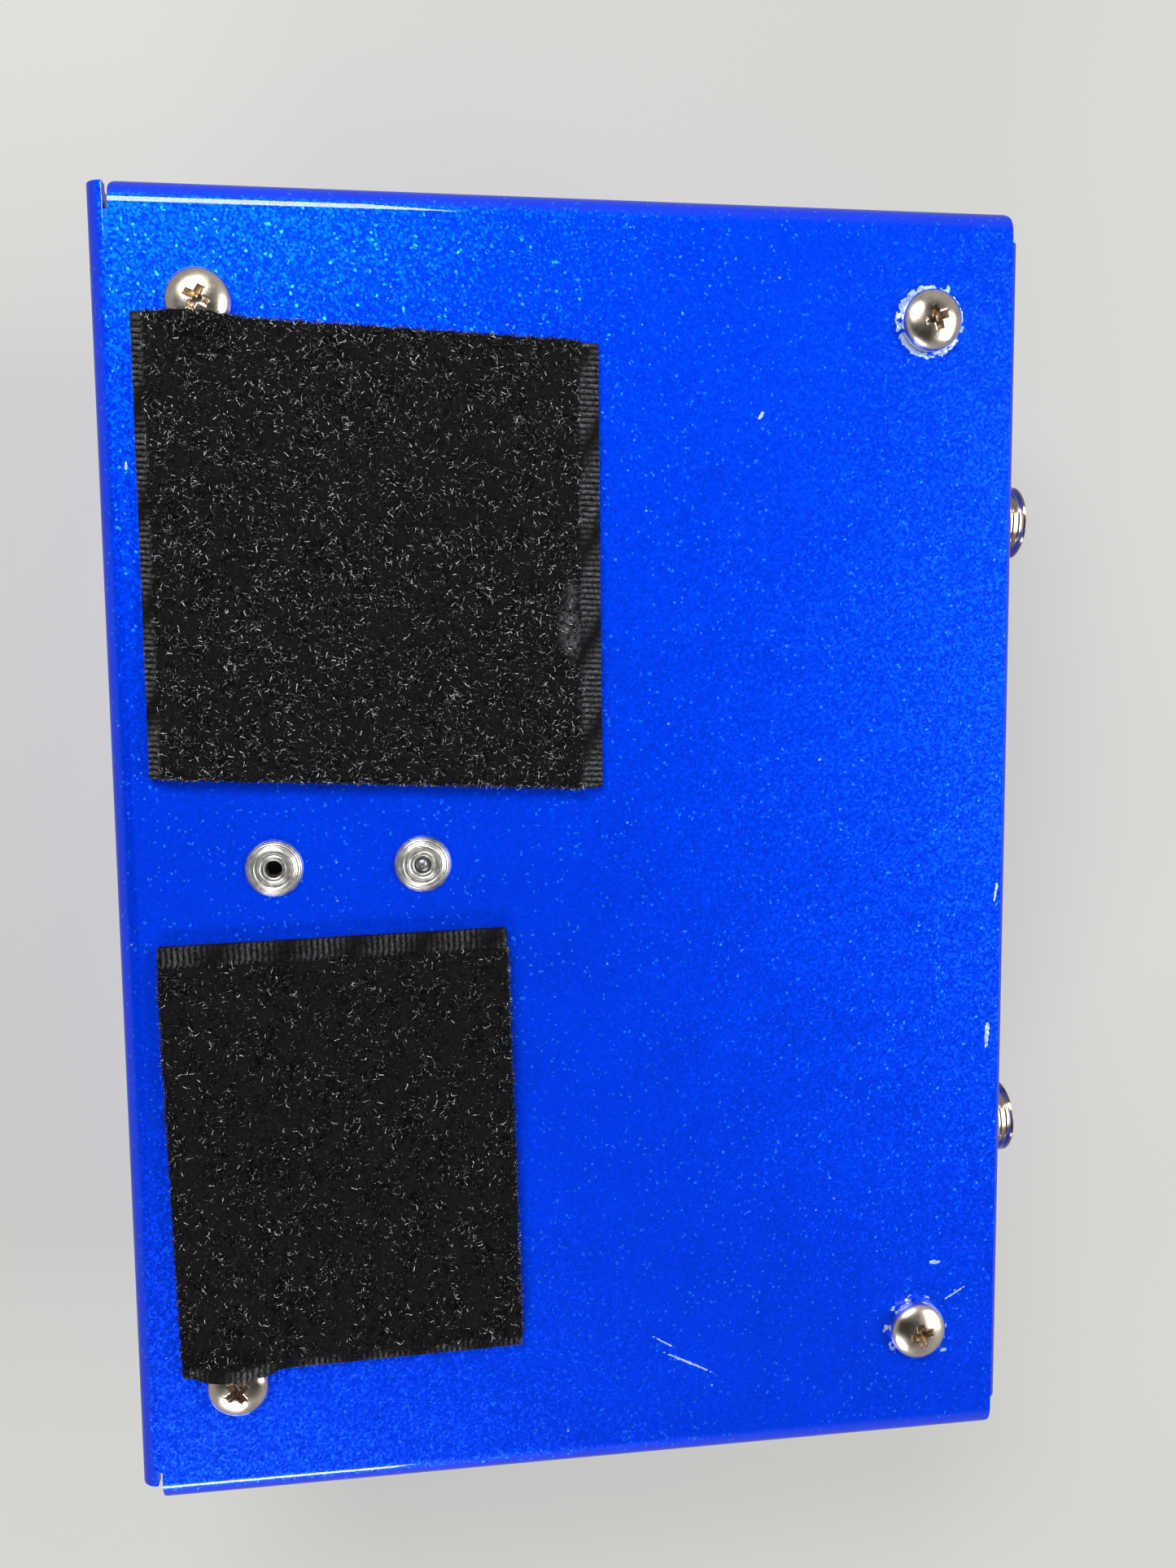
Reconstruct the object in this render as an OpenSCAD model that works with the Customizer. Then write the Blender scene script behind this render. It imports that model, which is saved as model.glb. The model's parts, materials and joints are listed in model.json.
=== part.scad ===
// Guitar effects pedal with two footswitches, in a folded steel case, standing on two loop pads.
// X runs to the player's right, Y to the rear (socket) side, and Z up.
// The origin lies on the surface the pedal stands on, below the middle of its box.
// All sizes are millimetres.

/* [Case] */
// Outer width of the base, over its side walls
base_w = 151.5; // [140:0.5:190]
// How much narrower the top cover is than the base
cover_inset = 1.9; // [0:0.1:3]
// How far the cover sits to the right of the base
cover_shift = 0.7; // [0:0.1:1]
// Outer depth of the top cover, front wall to rear wall
cover_d = 107.2; // [98:0.2:135]
// Height of the front wall, from the underside of the base
front_h = 27; // [26:0.5:36]
// Height of the rear wall, from the underside of the base
rear_h = 44; // [42:0.5:60]
// Thickness of the steel sheet
sheet_t = 1.5; // [1.2:0.1:2]
// Inner radius of the bends along the cover's lips
lip_bend = 0.5; // [0.3:0.1:0.9]
// Inner radius of the bends along the cover's top edges
top_bend = 1.5; // [0.7:0.1:2.5]
// Inner radius of the bends along the base's sides
side_bend = 1.5; // [0.7:0.1:2.2]
// Width of the lips that take the base screws
lip_w = 17; // [15:0.5:18]
// Radius of the base's four corners
corner_r = 1.3; // [0.5:0.1:2]
// Room between the base's front edge and the cover's front wall
front_gap = 1.3; // [0.8:0.1:2]

/* [Base screws] */
// Distance from a screw to the cover's front or rear face
screw_inset = 12; // [10:0.1:12.5]
// Distance from a screw to the cover's side edge
screw_side = 13.1; // [11:0.1:16]
// Radius of the screw head
screw_head_r = 3.55; // [3:0.05:4]
// Height of the screw head
screw_head_h = 2.4; // [1.8:0.1:2.8]
// Radius of the screw's shank
screw_r = 1.75; // [1.5:0.05:2]
// Length of the screw's shank
screw_len = 7.5; // [6:0.5:9]

/* [Loop pads] */
// Thickness of the loop tape
pad_t = 2.4; // [2:0.1:3]
// Width of the loop tape
tape_w = 50.8; // [38:0.1:51]
// Length of the right piece of tape
right_pad_l = 50.4; // [40:0.1:52]
// Sideways skew of the right piece's cut ends
right_pad_skew = 2.2; // [0:0.1:3]
// Length of the left piece of tape
left_pad_l = 39.4; // [30:0.1:44]
// Angle at which the left piece was stuck on, in degrees
left_pad_turn = 1.2; // [0:0.1:3]

/* [Battery] */
// Length of the battery's can
battery_l = 46.4; // [44:0.1:47]
// Width of the battery
battery_w = 26.3; // [25:0.1:27]
// Thickness of the battery
battery_t = 17.3; // [16:0.1:18]
// Distance from the cover's front face to the clip's middle
clip_y = 26.4; // [25:0.1:32]
// Distance between the clip's two rivets
rivet_pitch = 16.8; // [14:0.1:19]
// Radius of the rivet's flange
rivet_flange_r = 3.3; // [3:0.05:3.6]

/* [Controls] */
// Distance from the cover's side edge to the first knob's axis
knob_side = 22; // [20:0.5:26]
// Distance from the cover's rear face to the row of knobs
knob_back = 29; // [28:0.5:34]
// Radius of a knob at its base
knob_r = 9.4; // [8:0.1:10]
// Height of a knob
knob_h = 14.5; // [13:0.5:18]
// Radius of a knob's shaft
shaft_r = 3; // [2.8:0.1:3.2]
// Distance from the cover's side edge to a footswitch's axis
switch_side = 28; // [26:0.5:32]
// Distance from the cover's front face to the footswitches
switch_y = 25; // [24:0.5:28]
// How far a footswitch's button stands above the panel
button_out = 13; // [11:0.5:15]
// Travel of a footswitch's button
button_travel = 2.6; // [1.5:0.1:3]
// Distance between the two lever switches
toggle_pitch = 36; // [30:1:50]
// Distance from the row of knobs forward to the lever switches
toggle_ahead = 24; // [22:0.5:26]
// Swing of a lever to each side, in degrees
lever_swing = 12; // [8:0.5:13]
// Distance from the row of knobs forward to the lamps
lamp_ahead = 28; // [24:0.5:32]

/* [Sockets] */
// Distance from the cover's side edge to a jack socket's axis
jack_side = 34.8; // [33:0.1:40]
// Height of the jack sockets' axes above the underside of the base
jack_z = 14; // [13:0.1:15]
// Radius of a jack socket's bore
jack_bore_r = 3.2; // [3.18:0.01:3.3]
// How far a jack socket's thread stands out of the rear wall
jack_out = 5.4; // [4:0.1:6]
// Height of the power inlet's axis above the underside of the base
inlet_z = 25; // [24:0.5:30]
// Radius of the power inlet's bore
inlet_bore_r = 2.85; // [2.75:0.05:3]

/* [Hidden] */
$fn = 48;

// Clearances
run = 0.05;           // round a shaft that turns or slides
fit = 0.1;            // round a piece that passes through a hole
gap = 0.3;            // between neighbours that must not touch
over = 1;             // how far a cutter runs past what it cuts

// Outer sizes and the places that follow from them
lip_bend_r = lip_bend + sheet_t;
top_bend_r = top_bend + sheet_t;
side_bend_r = side_bend + sheet_t;
cover_w = base_w - cover_inset;
overhang = max(0, cover_shift - cover_inset / 2);
base_x = -overhang / 2;
cover_x = base_x + cover_shift;
jack_nut_t = 2;
jack_washer_t = 0.5;
y_front = -(cover_d + jack_out) / 2;
y_rear = y_front + cover_d;
z_base = pad_t;
z_floor = z_base + sheet_t;
z_front = z_base + front_h;
z_rear = z_base + rear_h;
tilt = atan((rear_h - front_h) / cover_d);
base_y = y_front + sheet_t + front_gap;
base_d = cover_d - 2 * sheet_t - front_gap - gap;
lip_half = base_w / 2 - side_bend_r - gap;

// Holes in the panel and the sheet
screw_hole_r = screw_r + 0.2;
rivet_r = 1.6;
rivet_hole_r = rivet_r + 0.05;
pot_bush_r = 3.5;
switch_bush_r = 5.95;
toggle_bush_r = 3;
bezel_r = 3.4;
jack_bush_r = 4.7;
inlet_r = 5.4;

// Rows of controls, measured from the cover's middle and from its front face
knob_y = cover_d - knob_back;
knob_xs = [for (i = [0:3]) (cover_w / 2 - knob_side) * (2 * i / 3 - 1)];
switch_xs = [-1, 1] * (cover_w / 2 - switch_side);
toggle_xs = [-1, 1] * toggle_pitch / 2;
toggle_y = knob_y - toggle_ahead;
lamp_xs = switch_xs;
lamp_y = knob_y - lamp_ahead;
jack_xs = [-1, 1] * (cover_w / 2 - jack_side);
screw_xs = [-1, 1] * (cover_w / 2 - screw_side);
screw_ys = [screw_inset, cover_d - screw_inset];

// Depths below the panel's outer face
pot_h = 8.5;
pot_r = 8.3;
board_top = sheet_t + pot_h;
board_t = 1.6;
board_under = board_top + board_t;
board_w = cover_w - 2 * (sheet_t + 8);
board_front = toggle_y - 9;
lead_y = board_front + 3;
board_rear = knob_y + 11;

// Straight out of the panel, and back along it
out = [0, -sin(tilt), cos(tilt)];
back = [0, cos(tilt), sin(tilt)];

function unit(v) = v / norm(v);
function spin(v, a) = [v.x * cos(a) - v.y * sin(a), v.x * sin(a) + v.y * cos(a)];

// Half the angle between the two legs that meet at corner p
function half_angle(a, p, b) = acos(unit(a - p) * unit(b - p)) / 2;

// Points round a bend of radius r at corner p, between the legs towards a and b
function bend(a, p, b, r, n = 7) = let (
    u = unit(a - p),
    v = unit(b - p),
    h = half_angle(a, p, b),
    c = p + unit(u + v) * r / sin(h),
    s = p + u * r / tan(h) - c,
    way = sign(u.y * v.x - u.x * v.y))
    [for (i = [0:n]) c + spin(s, way * (180 - 2 * h) * i / n)];

// The corner p moved inwards by t, so that both legs move by t
function inner(a, p, b, t) = p + unit(unit(a - p) + unit(b - p)) * t / sin(half_angle(a, p, b));

// The end e of a leg that starts at corner p, moved across the leg as the corner's inner point q is
function inner_end(e, p, q) = let (d = unit(e - p)) e + (q - p) - ((q - p) * d) * d;

// Outline of a bent sheet: path has its outer corners, radii their outer bends, t its thickness
function sheet_outline(path, radii, t) = let (
    n = len(path) - 1,
    mid = [for (i = [1:n - 1]) inner(path[i - 1], path[i], path[i + 1], t)],
    q = concat([inner_end(path[0], path[1], mid[0])], mid,
        [inner_end(path[n], path[n - 1], mid[n - 2])]))
    concat([path[0]],
        [for (i = [1:n - 1]) each bend(path[i - 1], path[i], path[i + 1], radii[i - 1])],
        [path[n], q[n]],
        [for (i = [n - 1:-1:1]) each bend(q[i + 1], q[i], q[i - 1], radii[i - 1] - t)],
        [q[0]]);

// Outline of a rectangle with round corners, w by d about the middle
function round_rect(w, d, r) = let (c = [[-w, -d], [w, -d], [w, d], [-w, d]] / 2)
    [for (i = [0:3]) each bend(c[(i + 3) % 4], c[i], c[(i + 1) % 4], r, 5)];

// Outline of the room inside the front wall, the panel and the rear wall, clear of them by c
function cover_room(c) = let (
    low = z_base - over,
    p = [[y_front, low], [y_front, z_front], [y_rear, z_rear], [y_rear, low]],
    q = [for (i = [1, 2]) inner(p[i - 1], p[i], p[i + 1], sheet_t + c)],
    first = [q[0].x, low],
    last = [q[1].x, low])
    concat([first], bend(first, q[0], q[1], top_bend - c), bend(q[0], q[1], last, top_bend - c),
        [last]);

// A point on a cubic curve from a to d that leaves along b - a and arrives along d - c
function curve(a, b, c, d, t) = pow(1 - t, 3) * a + 3 * t * pow(1 - t, 2) * b
    + 3 * t * t * (1 - t) * c + pow(t, 3) * d;

// A point of the panel's outer face, at x from the cover's middle and y from its front face,
// and at depth below that face
function panel_point(x, y, depth) = [cover_x + x,
    y_front + y + depth * sin(tilt),
    z_front + y * tan(tilt) - depth * cos(tilt)];

module along_x(x0, x1) {
    translate([x0, 0, 0]) rotate([90, 0, 90]) linear_extrude(x1 - x0) children();
}

module along_y(y0, y1) {
    translate([0, y1, 0]) rotate([90, 0, 0]) linear_extrude(y1 - y0) children();
}

// Places children on the panel's outer face, with +Z out of it
module on_panel(x, y) {
    translate(panel_point(x, y, 0)) rotate([tilt, 0, 0]) children();
}

// Places children on the rear wall's outer face, with +Z out of it
module on_rear(x, z) {
    translate([cover_x + x, y_rear, z_base + z]) rotate([-90, 0, 0]) children();
}

// Places children at the four base screws, on the underside of the base
module at_screws() {
    for (x = screw_xs, y = screw_ys) translate([cover_x + x, y_front + y, z_base]) children();
}

// Places children at the clip's two rivets, on the underside of the base
module at_rivets(which = [-1, 1]) {
    for (side = which)
        translate([base_x, y_front + clip_y + side * rivet_pitch / 2, z_base]) children();
}

module tube(r_out, r_in, z0, z1) {
    translate([0, 0, z0]) difference() {
        cylinder(r = r_out, h = z1 - z0);
        translate([0, 0, -over]) cylinder(r = r_in, h = z1 - z0 + 2 * over);
    }
}

module rod(r, z0, z1) {
    translate([0, 0, z0]) cylinder(r = r, h = z1 - z0);
}

module hex_nut(across, r_in, z0, z1) {
    translate([0, 0, z0]) difference() {
        cylinder(r = across / sqrt(3), h = z1 - z0, $fn = 6);
        translate([0, 0, -over]) cylinder(r = r_in, h = z1 - z0 + 2 * over);
    }
}

module block(w, d, z0, z1) {
    translate([-w / 2, -d / 2, z0]) cube([w, d, z1 - z0]);
}

// Cross directions for a tube, one for each of its directions, carried along without a twist
function carried(dirs, i = 0, last = [0.2, 0.3, 1]) = i == len(dirs) ? []
    : let (n = unit(last - (last * dirs[i]) * dirs[i])) concat([n], carried(dirs, i + 1, n));

// An insulated wire of radius r, bent from point a to point d by way of b and c
module lead(a, b, c, d, r = 0.65, rings = 12, sides = 8) {
    path = [for (i = [0:rings]) curve(a, b, c, d, i / rings)];
    dirs = concat([unit(b - a)], [for (i = [1:rings - 1]) unit(path[i + 1] - path[i - 1])],
        [unit(d - c)]);
    side = carried(dirs);
    points = [for (i = [0:rings], k = [0:sides - 1]) path[i]
        + r * (cos(360 * k / sides) * side[i] + sin(360 * k / sides) * cross(dirs[i], side[i]))];
    walls = [for (i = [0:rings - 1], k = [0:sides - 1]) let (
        p = i * sides + k,
        q = i * sides + (k + 1) % sides) each [[p, q + sides, q], [p, p + sides, q + sides]]];
    first = [for (k = [0:sides - 1]) k];
    last = [for (k = [sides - 1:-1:0]) rings * sides + k];
    polyhedron(points = points, faces = concat([first, last], walls), convexity = 4);
}

// Case

// The flat floor and its two side walls, folded from one sheet
module base_plate() {
    wall_top = z_rear;
    path = [[-base_w / 2, wall_top], [-base_w / 2, z_base], [base_w / 2, z_base],
        [base_w / 2, wall_top]];
    color("royalblue") difference() {
        intersection() {
            translate([base_x, 0, 0]) along_y(base_y, base_y + base_d)
                polygon(sheet_outline(path, [side_bend_r, side_bend_r], sheet_t));
            translate([base_x, base_y + base_d / 2, 0]) linear_extrude(wall_top)
                polygon(round_rect(base_w, base_d, corner_r));
            // the walls stop under the sloping panel, clear of its bends
            along_x(-base_w, base_w) polygon(cover_room(gap));
        }
        at_screws() rod(screw_hole_r, -over, sheet_t + over);
        at_rivets() rod(rivet_hole_r, -over, sheet_t + over);
    }
}

// Front wall, sloping panel, rear wall and two lips, folded from one sheet
module top_cover() {
    path = [[y_front + lip_w, z_floor], [y_front, z_floor], [y_front, z_front],
        [y_rear, z_rear], [y_rear, z_floor], [y_rear - lip_w, z_floor]];
    radii = [lip_bend_r, top_bend_r, top_bend_r, lip_bend_r];
    notch_w = 30;
    notch_y = 5;
    relief_h = 4;
    end_w = cover_w / 2 - lip_half + cover_shift + over;
    color("royalblue") difference() {
        along_x(cover_x - cover_w / 2, cover_x + cover_w / 2)
            polygon(sheet_outline(path, radii, sheet_t));
        // the lips stop short of the base's side walls
        for (side = [-1, 1]) translate([base_x + side * (lip_half + end_w / 2),
            (y_front + y_rear) / 2, z_floor])
            block(end_w, cover_d - 2 * lip_bend_r, -over, sheet_t + 0.2);
        // the front lip leaves room for the battery clip
        translate([base_x, y_front + notch_y + lip_w / 2, z_floor])
            block(notch_w, lip_w, -over, sheet_t + over);
        // the rear wall is open at each lower corner, where the base's sides turn up
        for (side = [-1, 1]) translate([base_x + side * (lip_half + end_w / 2),
            y_rear - lip_bend_r / 2, z_floor])
            block(end_w, lip_bend_r + 2 * over, -over, relief_h);
        at_screws() rod(screw_hole_r, 0, 3 * sheet_t);
        for (x = knob_xs) on_panel(x, knob_y) rod(pot_bush_r + fit, -sheet_t - over, over);
        for (x = switch_xs) on_panel(x, switch_y)
            rod(switch_bush_r + fit, -sheet_t - over, over);
        for (x = toggle_xs) on_panel(x, toggle_y)
            rod(toggle_bush_r + fit, -sheet_t - over, over);
        for (x = lamp_xs) on_panel(x, lamp_y) rod(bezel_r + fit, -sheet_t - over, over);
        for (x = jack_xs) on_rear(x, jack_z) rod(jack_bush_r + fit, -sheet_t - over, over);
        on_rear(0, inlet_z) rod(inlet_r + fit, -sheet_t - over, over);
    }
}

module base_screws() {
    recess_w = 0.9;
    recess_l = 3.9;
    recess_d = 1.5;
    dome = screw_head_h * 0.42;
    rim = screw_head_h - dome;
    dome_r = (pow(screw_head_r, 2) + pow(dome, 2)) / (2 * dome);
    color("silver") at_screws() difference() {
        union() {
            rod(screw_r, 0, screw_len);
            rod(screw_head_r, -rim, 0);
            intersection() {
                rod(screw_head_r, -screw_head_h, -rim);
                translate([0, 0, -screw_head_h + dome_r]) sphere(r = dome_r, $fn = 96);
            }
        }
        for (turn = [0, 90]) rotate([0, 0, turn + 35]) translate([0, 0, -screw_head_h])
            block(recess_l, recess_w, -over, recess_d);
    }
}

// Threaded nuts pressed into the lips
module clinch_nuts() {
    nut_r = 3.6;
    nut_t = 2.2;
    color("silver") at_screws()
        tube(nut_r, screw_r + run, 2 * sheet_t, 2 * sheet_t + nut_t);
}

// Loop pads

module pad_pockets() {
    at_screws() rod(screw_head_r + gap, -pad_t - over, over);
}

module pad_right() {
    start_x = 8.46;
    start_y = 2.1;
    outline = [[start_x + right_pad_skew, 0], [start_x + right_pad_skew + right_pad_l, 0],
        [start_x + right_pad_l, tape_w], [start_x, tape_w]];
    color("#151515") difference() {
        translate([base_x, base_y + start_y, 0]) linear_extrude(pad_t) polygon(outline);
        pad_pockets();
    }
}

module pad_left() {
    start_x = 8.16;
    start_y = 2.6;
    color("#151515") difference() {
        translate([base_x - start_x - tape_w / 2, base_y + start_y + left_pad_l / 2, 0])
            rotate([0, 0, -left_pad_turn]) block(tape_w, left_pad_l, 0, pad_t);
        pad_pockets();
    }
}

// Battery and its holder

clip_t = 0.8;
rivet_bulge_h = 2.2;
clip_arm_h = 14;
battery_z = z_floor + clip_t + rivet_bulge_h;

// Hollow rivets that hold the clip to the floor of the base
module clip_rivets() {
    flange_t = 0.9;
    bulge_r = 2.5;
    hole_r = 0.95;
    stack = sheet_t + clip_t;
    color("gainsboro") at_rivets() rotate_extrude() polygon([
        [hole_r, -flange_t], [1.9, -flange_t], [2.7, -flange_t * 0.8],
        [rivet_flange_r, -flange_t * 0.25], [rivet_flange_r, 0], [rivet_r, 0],
        [rivet_r, stack], [bulge_r, stack], [bulge_r, stack + rivet_bulge_h * 0.6],
        [bulge_r * 0.7, stack + rivet_bulge_h], [hole_r, stack + rivet_bulge_h]]);
}

// The pulled pin's head that is still in the rear rivet
module rivet_mandrel() {
    color("dimgray") at_rivets([1]) rod(0.9, -0.35, sheet_t + clip_t + rivet_bulge_h - 0.2);
}

module battery_clip() {
    clip_w = 16;
    half = battery_w / 2 + fit + clip_t;
    curl = 2.2;
    top = z_floor + clip_arm_h + rivet_bulge_h;
    y_mid = y_front + clip_y;
    path = [[y_mid - half, top], [y_mid - half, z_floor], [y_mid + half, z_floor],
        [y_mid + half, top]];
    color("lightsteelblue") difference() {
        union() {
            along_x(base_x - clip_w / 2, base_x + clip_w / 2)
                polygon(sheet_outline(path, [1.6, 1.6], clip_t));
            // each arm ends in a lip that turns away from the battery
            for (side = [-1, 1]) translate([base_x, y_mid + side * half, top])
                rotate([side * -30, 0, 0]) translate([0, -side * clip_t / 2, 0])
                    block(clip_w, clip_t, -clip_t / 2, curl);
        }
        at_rivets() rod(rivet_hole_r, sheet_t - over, sheet_t + clip_t + over);
    }
}

module battery() {
    color("#2b2b2e") translate([0, y_front + clip_y, battery_z + battery_t / 2])
        along_x(base_x - battery_l / 2, base_x + battery_l / 2)
            polygon(round_rect(battery_w, battery_t, 2));
}

terminal_pitch = 12.7;
terminal_h = 2.4;
stud_r = 2.8;
socket_r = 4.1;

// Places children at a terminal on the battery's right end, with +Z out of it
module at_terminal(side) {
    translate([base_x + battery_l / 2, y_front + clip_y + side * terminal_pitch / 2,
        battery_z + battery_t / 2]) rotate([0, 90, 0]) children();
}

module battery_terminals() {
    color("gold") {
        at_terminal(-1) rod(stud_r, 0, terminal_h);
        at_terminal(1) tube(socket_r, stud_r + 0.2, 0, terminal_h);
    }
}

snap_t = 4.6;

// The press-on cap that joins the battery to its leads
module battery_snap() {
    color("#1b1b1b") difference() {
        translate([base_x + battery_l / 2, y_front + clip_y, battery_z + battery_t / 2])
            rotate([0, 90, 0]) block(12, 25.4, gap, gap + snap_t);
        at_terminal(-1) rod(stud_r + fit, 0, terminal_h + fit);
        at_terminal(1) rod(socket_r + fit, 0, terminal_h + fit);
    }
}

module battery_leads() {
    for (k = [-1, 1]) {
        start = [base_x + battery_l / 2 + gap + snap_t, y_front + clip_y + 4,
            battery_z + battery_t / 2 + 2 * k];
        goal = panel_point(34 + 1.6 * k, lead_y, board_under);
        color(k < 0 ? "red" : "#202020") lead(start, start + [7, 0, 0], goal - 7 * out, goal);
    }
}

// Circuit board

module on_board(x, y) {
    on_panel(x, y) translate([0, 0, -board_under]) rotate([180, 0, 0]) children();
}

module circuit_board() {
    color("darkgreen") on_panel(0, (board_front + board_rear) / 2)
        block(board_w, (board_rear - board_front) / cos(tilt), -board_under, -board_top);
}

module board_chips() {
    color("#222222") for (x = [-36, 0, 36]) on_board(x, knob_y - 13) block(9.6, 6.4, 0, 3.2);
}

module board_capacitors() {
    // a pair to each side of each socket's leads
    color("navy") for (side = [-1, 1], off = [-15.2, 10.8], k = [0, 1])
        on_board(side * (jack_xs[1] + off) + 7.5 * k - 3.7, toggle_y + 2)
            rod(2.4 + 0.4 * k, 0, 5.5);
    color("firebrick") for (x = [-54, -27, 14, 27, 54])
        on_board(x, knob_y - 6) block(7.2, 2.6, 0, 6);
}

module board_resistors() {
    axis_h = 1.6;
    half = 5;
    color("tan") for (x = [-60:12:60]) on_board(x, knob_y + 6) {
        translate([-3, 0, axis_h]) rotate([0, 90, 0]) cylinder(r = 1.15, h = 6);
        translate([-half, 0, axis_h]) rotate([0, 90, 0]) cylinder(r = 0.3, h = 2 * half);
        for (side = [-1, 1]) translate([side * half, 0, 0]) rod(0.3, 0, axis_h + 0.3);
    }
}

// Rotary controls

nut_z = 0.6;
pot_nut_t = 2.1;
collar_z = -4.6;
collar_t = 1.2;
collar_r = 4.5;
shaft_top = 13;

module pot(i) {
    x = knob_xs[i - 1];
    bush_top = 5.2;
    color("silver") on_panel(x, knob_y) difference() {
        union() {
            rod(pot_r, -board_top, -sheet_t);
            rod(pot_bush_r, -sheet_t, bush_top);
        }
        rod(shaft_r + run, -board_top + 1.5, bush_top + over);
        rod(collar_r + 0.2, collar_z - 0.2, collar_z + collar_t + 0.2);
    }
}

module shaft(i) {
    color("gainsboro") on_panel(knob_xs[i - 1], knob_y) {
        rod(shaft_r, -board_top + 2, shaft_top);
        rod(collar_r, collar_z, collar_z + collar_t);
    }
}

module knob(i) {
    foot = 0.9;
    roof = foot + knob_h;
    cavity_top = 5.8;
    crown_r = knob_r - 1.1;
    flutes = 18;
    flute_r = 0.75;
    color("#101010") on_panel(knob_xs[i - 1], knob_y) difference() {
        rotate_extrude() polygon([
            [0, foot], [knob_r, foot], [knob_r, foot + 1.6], [knob_r - 0.5, foot + 2.2],
            [crown_r, roof - 1.2], [crown_r - 0.35, roof - 0.35], [crown_r - 1.2, roof],
            [0, roof]]);
        rod(pot_r - 1.5, foot - over, cavity_top);
        rod(shaft_r, foot, shaft_top);
        for (k = [0:flutes - 1]) rotate([0, 0, (k + 0.5) * 360 / flutes])
            translate([knob_r - 0.05, 0, 0]) rod(flute_r, foot + 2.2, roof + over);
        translate([0, crown_r / 2 + 1, 0]) block(1.1, crown_r + 1, roof - 0.4, roof + over);
    }
}

module pot_washers() {
    color("silver") for (x = knob_xs) on_panel(x, knob_y) tube(5.6, pot_bush_r + fit, 0, nut_z);
}

module pot_nuts() {
    color("silver") for (x = knob_xs) on_panel(x, knob_y)
        hex_nut(10, pot_bush_r + run, nut_z, nut_z + pot_nut_t);
}

// Footswitches

body_top = 4.3;
body_h = 15;
body_w = 17.2;
bush_out = 6;
button_r = 4;
flange_r = 4.9;
flange_t = 1.5;
lug_h = 3.4;
lug_t = 0.8;
lug_pitch = 5.3;

module footswitch(side) {
    color("#14306b") on_panel(switch_xs[side], switch_y) difference() {
        block(body_w, body_w, -body_top - body_h, -body_top);
        rod(flange_r + 0.3, -body_top - flange_t - button_travel - 1.2, -body_top + over);
    }
}

module switch_bushing(side) {
    color("silver") on_panel(switch_xs[side], switch_y)
        tube(switch_bush_r, button_r + run, -body_top, bush_out);
}

module switch_button(side) {
    dome = 1.6;
    dome_r = (pow(button_r, 2) + pow(dome, 2)) / (2 * dome);
    color("silver") on_panel(switch_xs[side], switch_y) {
        rod(button_r, -body_top - flange_t, button_out - dome);
        rod(flange_r, -body_top - flange_t - gap, -body_top - gap);
        intersection() {
            rod(button_r, button_out - dome, button_out);
            translate([0, 0, button_out - dome_r]) sphere(r = dome_r, $fn = 96);
        }
    }
}

module switch_lugs() {
    color("gold") for (x = switch_xs) on_panel(x, switch_y) for (i = [-1:1], j = [-1:1])
        translate([i * lug_pitch, j * lug_pitch, 0])
            block(2.2, lug_t, -body_top - body_h - lug_h, -body_top - body_h);
}

module switch_nuts() {
    color("silver") for (x = switch_xs) on_panel(x, switch_y) {
        hex_nut(14, switch_bush_r + run, 1, 3);
        hex_nut(14, switch_bush_r + run, -sheet_t - 2, -sheet_t);
    }
}

module switch_washers() {
    color("silver") for (x = switch_xs) on_panel(x, switch_y)
        tube(8.5, switch_bush_r + fit, 0, 1);
}

// Leads from the footswitches' rear lugs back to the board
module switch_leads() {
    depth = body_top + body_h + lug_h - 0.8;
    for (x = switch_xs, k = [-1:1]) {
        start = panel_point(x + lug_pitch * k, switch_y, depth) + (lug_pitch + lug_t / 2) * back;
        goal = panel_point(x + 2 * k, lead_y, board_under);
        color(k < 0 ? "white" : k > 0 ? "green" : "orange")
            lead(start, start + 6 * back, goal - 6 * out, goal, 0.55);
    }
}

// Lever switches

lever_pivot = 2;
toggle_out = 8;

module toggle(side) {
    bore = 2.45;
    flare = 3;
    mouth = (toggle_out - lever_pivot) * tan(lever_swing) + 1.45;
    color("firebrick") on_panel(toggle_xs[side], toggle_y) difference() {
        union() {
            block(7.6, 12.8, -board_top, -sheet_t);
            rod(toggle_bush_r, -sheet_t, toggle_out);
        }
        rod(bore, -sheet_t - 3.5, toggle_out + over);
        translate([0, 0, toggle_out - flare]) cylinder(r1 = bore, r2 = mouth, h = flare + 0.001);
    }
}

module lever(side) {
    tip = toggle_out + 10;
    tip_r = 1.5;
    color("silver") on_panel(toggle_xs[side], toggle_y) {
        rod(1, lever_pivot - 4, lever_pivot);
        translate([0, 0, lever_pivot]) sphere(r = 1.8);
        translate([0, 0, lever_pivot]) cylinder(r1 = 1.1, r2 = tip_r, h = tip - lever_pivot);
        translate([0, 0, tip]) sphere(r = tip_r);
    }
}

module toggle_nuts() {
    color("silver") for (x = toggle_xs) on_panel(x, toggle_y)
        hex_nut(8, toggle_bush_r + run, 0, 1.8);
}

// Lamps

led_r = 2.45;

module led(side) {
    color("red") on_panel(lamp_xs[side], lamp_y) {
        rod(led_r, -6, 1.6);
        intersection() {
            translate([0, 0, 1.6]) sphere(r = led_r);
            rod(led_r, 1.6, 5);
        }
    }
}

module led_bezels() {
    color("silver") for (x = lamp_xs) on_panel(x, lamp_y) rotate_extrude() polygon([
        [led_r + fit, -5.5], [bezel_r, -5.5], [bezel_r, 0], [4.4, 0], [4.4, 0.8],
        [3.7, 1.5], [led_r + fit, 1.5]]);
}

module led_legs() {
    color("silver") for (x = lamp_xs, k = [-1, 1]) on_panel(x + 1.27 * k, lamp_y)
        rod(0.28, -board_top, -6);
}

// Sockets on the rear wall

jack_l = 27;
jack_body_w = 15;
jack_body_h = 13.6;

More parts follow.
